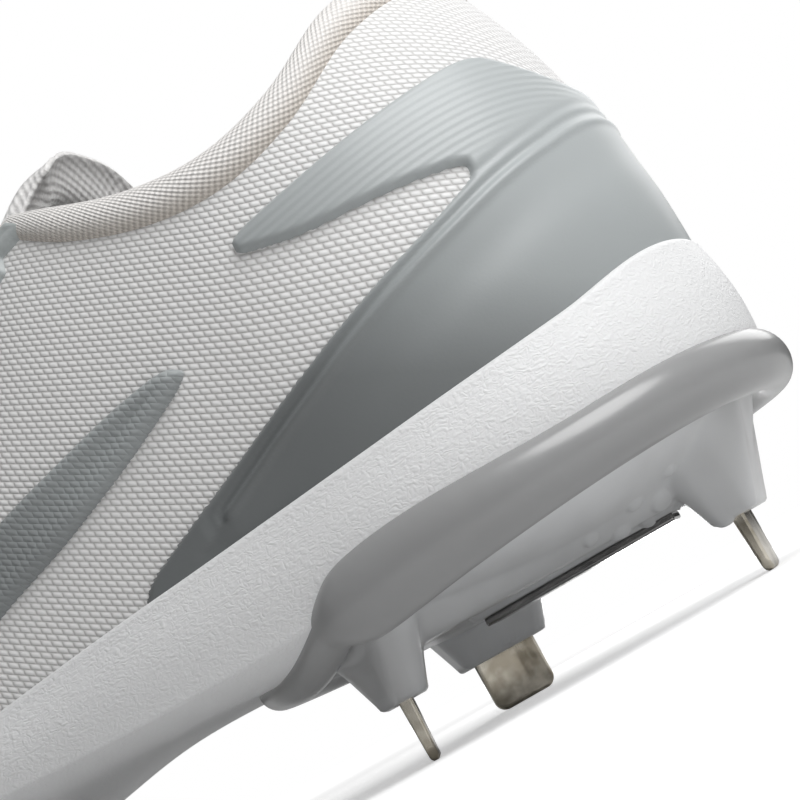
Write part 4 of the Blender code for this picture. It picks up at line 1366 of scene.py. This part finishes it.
def make_roll():
    place = np.linspace(-1.235, 1.235, 420)
    top = edge_rise(place)
    edge = surface(place, top, -UPPER_WALL / 2 + 0 * top)
    normal = outward(place, top)
    up = unit(surface(place, top) - surface(place, top - 0.02))
    share = Columns(place).share
    thin = 1 - 0.5 * ease(1.10, 1.235, np.abs(place))
    wide = (2.55 * MM + 0.35 * MM * ease(0.05, 0.24, share)) * thin
    rings = []
    for angle in np.linspace(math.pi, 3 * math.pi, ROLL_TURN, endpoint=False):
        c, s = math.cos(angle), math.sin(angle)
        across = (c * wide)[:, None]
        over = ((s * 3.5 - 1.6) * MM * thin)[:, None]
        rings.append(edge + normal * across + up * over)
    cloth = threads(run_along(edge), np.linspace(0, 18 * MM, ROLL_TURN))
    return grid("collar_roll", np.stack(rings, 1), wrap_columns=True, cloth=cloth)


def roll_knit():
    """Tight slanting twill of cream yarn, painted darker brown as shade where it turns under."""
    knit = Finish("roll_knit", Roughness=0.88, Sheen_Weight=0.35)
    along, round_it = knit.cloth()
    twill = (along + round_it * 0.8).ripple(0.95 * MM)
    loops = (round_it - along * 0.5).ripple(0.60 * MM)
    fuzz = knit.noise(2600, 2)
    height = twill * 0.6 + loops * 0.5 + fuzz * 0.4
    # Painted shade: the part of the roll that turns under, inward and down, is coloured a darker
    # brown.
    under = 1 - (round_it / MM).between(6.0, 9.5)
    pale = knit.mix(height, (0.72, 0.69, 0.66, 1), (0.90, 0.88, 0.86, 1))
    turned_under_shade = knit.mix(height, (0.42, 0.36, 0.31, 1), (0.72, 0.66, 0.59, 1))
    colour = knit.mix(under * 0.85, pale, turned_under_shade)
    return knit.use(Base_Color=colour, Normal=knit.bump(height, 0.26 * MM, 0.9))


roll = make_roll()
dress(roll, roll_knit(), "collar_binding")

# %% [markdown]
# ## The tongue
# The tongue is a padded knit flap. Cloth simulation would hardly change a piece that lies
# still under its laces, so its crown, its pulled-in edge and its stitched border are worked
# out from the distance to the border.


# %% Tongue
TONGUE_BACK, TONGUE_FRONT = 0.243, 0.655


def calm_ridge(points, reach):
    """Even out the ridge line, where the normals of the two sides don't quite agree."""
    even = points.copy()
    for _ in range(30):
        even[..., 1:-1, :] = (even[..., :-2, :] + even[..., 1:-1, :] * 2 + even[..., 2:, :]) / 4
    near = np.exp(-(reach / (4 * MM)) ** 2)[..., None]
    return points + (even - points) * near


def over_throat(share, reach, offset):
    place = place_of(share, np.where(reach < 0, -1, 1))
    return calm_ridge(surface(place, rise_at_reach(place, np.abs(reach)), offset), reach)


def make_tongue():
    share = np.linspace(TONGUE_BACK, TONGUE_FRONT, 170)[:, None]
    across = np.sin(np.linspace(-RIGHT_ANGLE, RIGHT_ANGLE, 70))[None, :]
    tuck = ease(0.252, 0.302, share)
    half = THROAT_WIDTH / 2 * THROAT.read("width", share) + (6.0 + 3.0) * MM * tuck - 3.0 * MM
    half = half * (0.80 + 0.20 * ease(TONGUE_BACK, 0.285, share))
    reach = half * across
    end = ease(0, 7 * MM, (share - TONGUE_BACK) * LENGTH)
    rim = ease(0, 1, (1 - np.abs(across)) * half / (5 * MM))
    puff = np.minimum(end, rim) * (0.75 + 0.25 * np.cos((share - 0.25) * 60))
    groove = np.exp(-(((1 - np.abs(across)) * half - 5.5 * MM) / (0.8 * MM)) ** 2) * 0.5
    top = -UPPER_WALL - 1.6 * MM + (1.5 * puff - groove) * MM
    spots_share = share + 0 * reach
    outer = over_throat(spots_share, reach, top)
    inner = over_throat(spots_share, reach, -UPPER_WALL - 2.4 * MM - 3.6 * MM * puff)
    yarn = np.stack([reach, spots_share * LENGTH], -1)
    return grid("tongue_pad", folded(outer, inner), wrap_columns=True, cloth=folded(yarn, yarn))


tongue = make_tongue()
dress(tongue, knit_lining("tongue_knit", 0.79, 0.01, 2.2), "tongue")

# %% [markdown]
# ## The insole
# A loose footbed fills the inside from wall to wall. Its rings shrink towards the middle
# line, with a soft shoulder, so a light pad needs no separate rim.


# %% Insole
# How far in each ring is, and its height over the footbed in mm
SHOULDER = ((0.0, 0.2), (0.0, 2.2), (0.02, 3.4), (0.05, 3.9), (0.12, 4.0), (0.25, 3.9),
            (0.4, 3.75), (0.6, 3.6), (0.8, 3.5), (1.0, 3.5))


def make_insole():
    place = foot_places(40, 60, 30)
    col = Columns(place)
    wall = sole_points(place, np.full(len(place), -UPPER_WALL - 0.8 * MM), 0.0)
    rings = []
    for part, lift in SHOULDER:
        ring = wall + (col.spine - wall) * part
        ring[:, 2] = footbed_height(share_of(ring[:, 0])) + lift * MM + GAP
        rings.append(ring)
    points = np.stack(rings, 1)
    return grid("insole_pad", points, wrap_rows=True, cloth=points[..., :2])


def insole_cloth():
    """Brushed grey cloth, rubbed paler in broad random patches."""
    cloth = Finish("insole_cloth", Roughness=0.93, Sheen_Weight=0.3)
    fuzz = cloth.noise(1600, 3)
    worn = cloth.noise(18, 2)
    colour = cloth.mix(worn.between(0.35, 0.7), grey(0.24), grey(0.34, 0.01))
    return cloth.use(Base_Color=colour, Normal=cloth.bump(fuzz, 0.2 * MM, 0.8))


insole = make_insole()
dress(insole, insole_cloth(), "insole")

# %% [markdown]
# ## The laces
# Each lace is a flat woven ribbon that comes up out of one hole, crosses the tongue over or
# under its partner, and dives into the next. A bevelled curve would stay round, so each
# ribbon is a ring of lens section that is carried along its path.

# %% Laces
LACE_HALF = 2.9 * MM
LACE_TURN = 18


def ribbon(name, share, reach, lift, pinch):
    """A flat lace along a path over the throat, as a closed tube of lens section."""
    middle = over_throat(share, reach, lift)
    along = unit(np.gradient(middle, axis=0))
    place = place_of(share, np.where(reach < 0, -1, 1))
    aside = unit(np.cross(along, outward(place, rise_at_reach(place, np.abs(reach)))))
    up = np.cross(aside, along)
    turn = np.linspace(0, 2 * math.pi, LACE_TURN, endpoint=False)
    rings = []
    for angle in turn:
        c, s = math.cos(angle), math.sin(angle)
        wide = aside * (c * LACE_HALF * pinch)[:, None]
        crown = 0.62 * MM * np.sign(s) * abs(s) ** 0.8 * (1 + 0.4 * (1 - pinch))
        rings.append(middle + wide + up * crown[:, None])
    cloth = threads(run_along(middle), np.cos(turn) * LACE_HALF)
    return grid(name, np.stack(rings, 1), wrap_columns=True, cloth=cloth)


def lace_run(name, start, end, over):
    """One crossing, from a little past one hole to a little past another."""
    past = 0.035
    t = np.linspace(-past, 1 + past, 64)
    places = [profile(*EYELETS[hole]) for hole in (start, end)]
    share = share_of(places[0][0]) + (share_of(places[1][0]) - share_of(places[0][0])) * t
    reach = places[0][1] + (places[1][1] - places[0][1]) * t
    dive = 1 - ease(-past, 0.03, t) * ease(-past, 0.03, 1 - t)
    arch = np.sin(math.pi * np.clip(t, 0, 1))
    cross = np.exp(-((t - 0.5) / 0.12) ** 2) * (0.75 if over else -0.15)
    lift = (1.9 + 0.35 * arch + cross - 3.8 * dive) * MM
    return ribbon(name, share, reach, lift, 1 - 0.45 * dive)


runs = [lace_run("lace_bar", (EYELET_SHARES[-1], -1), (EYELET_SHARES[-1], 1), True)]
for i, (near, far) in enumerate(zip(EYELET_SHARES, EYELET_SHARES[1:])):
    for side, word in ((-1, "l"), (1, "m")):
        over = (side > 0) == (i % 2 == 0)
        runs.append(lace_run(f"lace_{i}_{word}", (near, side), (far, -side), over))
print("crossings:", [lace.name for lace in runs])


# %% Lace cord
def lace_cord():
    """Woven white ribbon with herringbone ribs."""
    cord = Finish("lace_cord", Roughness=0.85, Sheen_Weight=0.25)
    along, across = cord.cloth()
    rib = (along + across.size() * 0.9).ripple(0.9 * MM)
    fuzz = cord.noise(2400, 2)
    colour = cord.mix(rib * 0.7 + fuzz * 0.3, grey(0.60, 0.01), grey(0.88, 0.008))
    return cord.use(Base_Color=colour, Normal=cord.bump(rib + fuzz * 0.4, 0.22 * MM, 0.9))


CORD = lace_cord()
for lace in runs:
    dress(lace, CORD, "lace")

# %% [markdown]
# ## The bar under the heel
# A plain polished bar lies in the hollow of the heel plate. It is a box with its edges
# rounded by a Bevel modifier, which is all that a bar needs.


# %% Bar
def make_bar():
    low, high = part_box("heel_inlay")
    bpy.ops.mesh.primitive_cube_add(size=1, location=(low + high) / 2)
    bar = bpy.context.object
    bar.name = "heel_bar"
    bar.scale = (high.x - low.x, (high.y - low.y) * 0.7, (high.z - low.z) * 1.2)
    bpy.ops.object.transform_apply(location=True, rotation=False, scale=True)
    bevel = bar.modifiers.new("round", "BEVEL")
    bevel.width, bevel.segments = 0.35 * MM, 3
    return bar


def bar_gloss():
    """Dark metallic lacquer."""
    gloss = Finish("bar_gloss", Metallic=1.0)
    cloud = gloss.noise(300, 2)
    colour = gloss.mix(cloud, grey(0.22, 0.01), grey(0.36, 0.02))
    return gloss.use(Base_Color=colour, Roughness=0.12 + cloud * 0.12)


dress(make_bar(), bar_gloss(), "heel_inlay")

# %% [markdown]
# ## Camera
# The photograph looks slightly up at the heel from the lateral side and behind, with the
# camera rolled, so that the heel points to the upper right. The camera keeps that angle to
# the shoe and stays just above the floor that the blades stand on.

# %% Camera
AZIMUTH, ELEVATION, ROLL = math.radians(16.9), math.radians(-11.6), math.radians(29.3)
TARGET = Vector((0.1106, -0.0294, 0.0394))
DISTANCE = 0.170
back = Vector((math.sin(AZIMUTH) * math.cos(ELEVATION),
               -math.cos(AZIMUTH) * math.cos(ELEVATION), math.sin(ELEVATION)))
lens = bpy.data.cameras.new("camera")
lens.sensor_width, lens.lens = 36.0, 63.2
lens.clip_start = 0.005
camera = bpy.data.objects.new("camera", lens)
bpy.context.collection.objects.link(camera)
camera.location = TARGET + back * DISTANCE
upright = (-back).to_track_quat("-Z", "Y").to_matrix()
camera.rotation_euler = (upright @ Matrix.Rotation(-ROLL, 3, "Z")).to_euler()
bpy.context.scene.camera = camera
print("camera height over the floor, mm:", round(camera.location.z / MM, 1))

# %% [markdown]
# ## Floor
# A studio shot on white. The floor is pale and glows white towards the distance, but only
# to the camera, so that it meets the white world without a line and adds no light.


# %% Floor
def make_floor():
    bpy.ops.mesh.primitive_plane_add(size=40.0, location=(0, 0, 0))
    floor = bpy.context.object
    floor.name = "studio_floor"
    pale = Finish("studio_floor", Roughness=0.9)
    x, y = (pale.node("SeparateXYZ", values={0: pale.place()}, output=i) for i in (0, 1))
    away = (x * x + y * y) ** 0.5
    seen = pale.node("LightPath")
    glow = (0.42 + away.between(0.14, 0.5) * 0.58) * seen
    pale.use(Base_Color=pale.mix(pale.noise(3), grey(0.80), grey(0.83)),
             Emission_Color=pale.mix(glow, grey(0.0), grey(1.0)), Emission_Strength=1.0)
    floor.data.materials.append(pale.material)


make_floor()

# %% [markdown]
# ## Light
# Large soft lamps stand above and behind the heel, so that the surfaces that look down and
# forward fall into grey. A small lamp near the floor, on the far side, puts wet glints into
# the hollow of the heel plate. The world is white to the eye but lights mostly from above.


# %% Lamps and sky
def lamp(name, place, aim, size, power, tint=(1, 1, 1)):
    light = bpy.data.lights.new(name, "AREA")
    light.shape = "DISK"
    light.size, light.energy, light.color = size, power, tint
    thing = bpy.data.objects.new(name, light)
    thing.location = place
    thing.rotation_euler = (Vector(aim) - Vector(place)).to_track_quat("-Z", "Y").to_euler()
    thing.visible_camera = False
    bpy.context.collection.objects.link(thing)


SKY_TOP = Vector((0.47, -0.10, 0.87)).normalized()


class Sky(Finish):
    """The world's graph: white to the eye, and brightest over the heel as a light."""

    def __init__(self):
        self.material = bpy.data.worlds.new("studio")
        self.material.use_nodes = True
        self.tree = self.material.node_tree
        self.shader = self.tree.nodes["Background"]


def make_sky():
    sky = Sky()
    way = sky.node("TexCoord")
    toward = sky.node("VectorMath", {"operation": "DOT_PRODUCT"}, {0: way, 1: SKY_TOP}, 1)
    fill = 0.04 + toward.between(0.0, 1.0) * 0.52
    seen = sky.node("LightPath")
    bpy.context.scene.world = sky.use(Color=grey(1.0), Strength=seen + (1 - seen) * fill)


lamp("key", (0.245, -0.110, 0.215), (0.12, -0.02, 0.05), 0.18, 0.44)
lamp("behind", (0.35, 0.60, 0.40), (0.09, 0, 0.05), 0.5, 1.2)
lamp("low", (0.090, 0.165, 0.022), (0.112, 0.0, 0.013), 0.04, 0.045)
make_sky()
bpy.context.scene.view_settings.view_transform = "Standard"
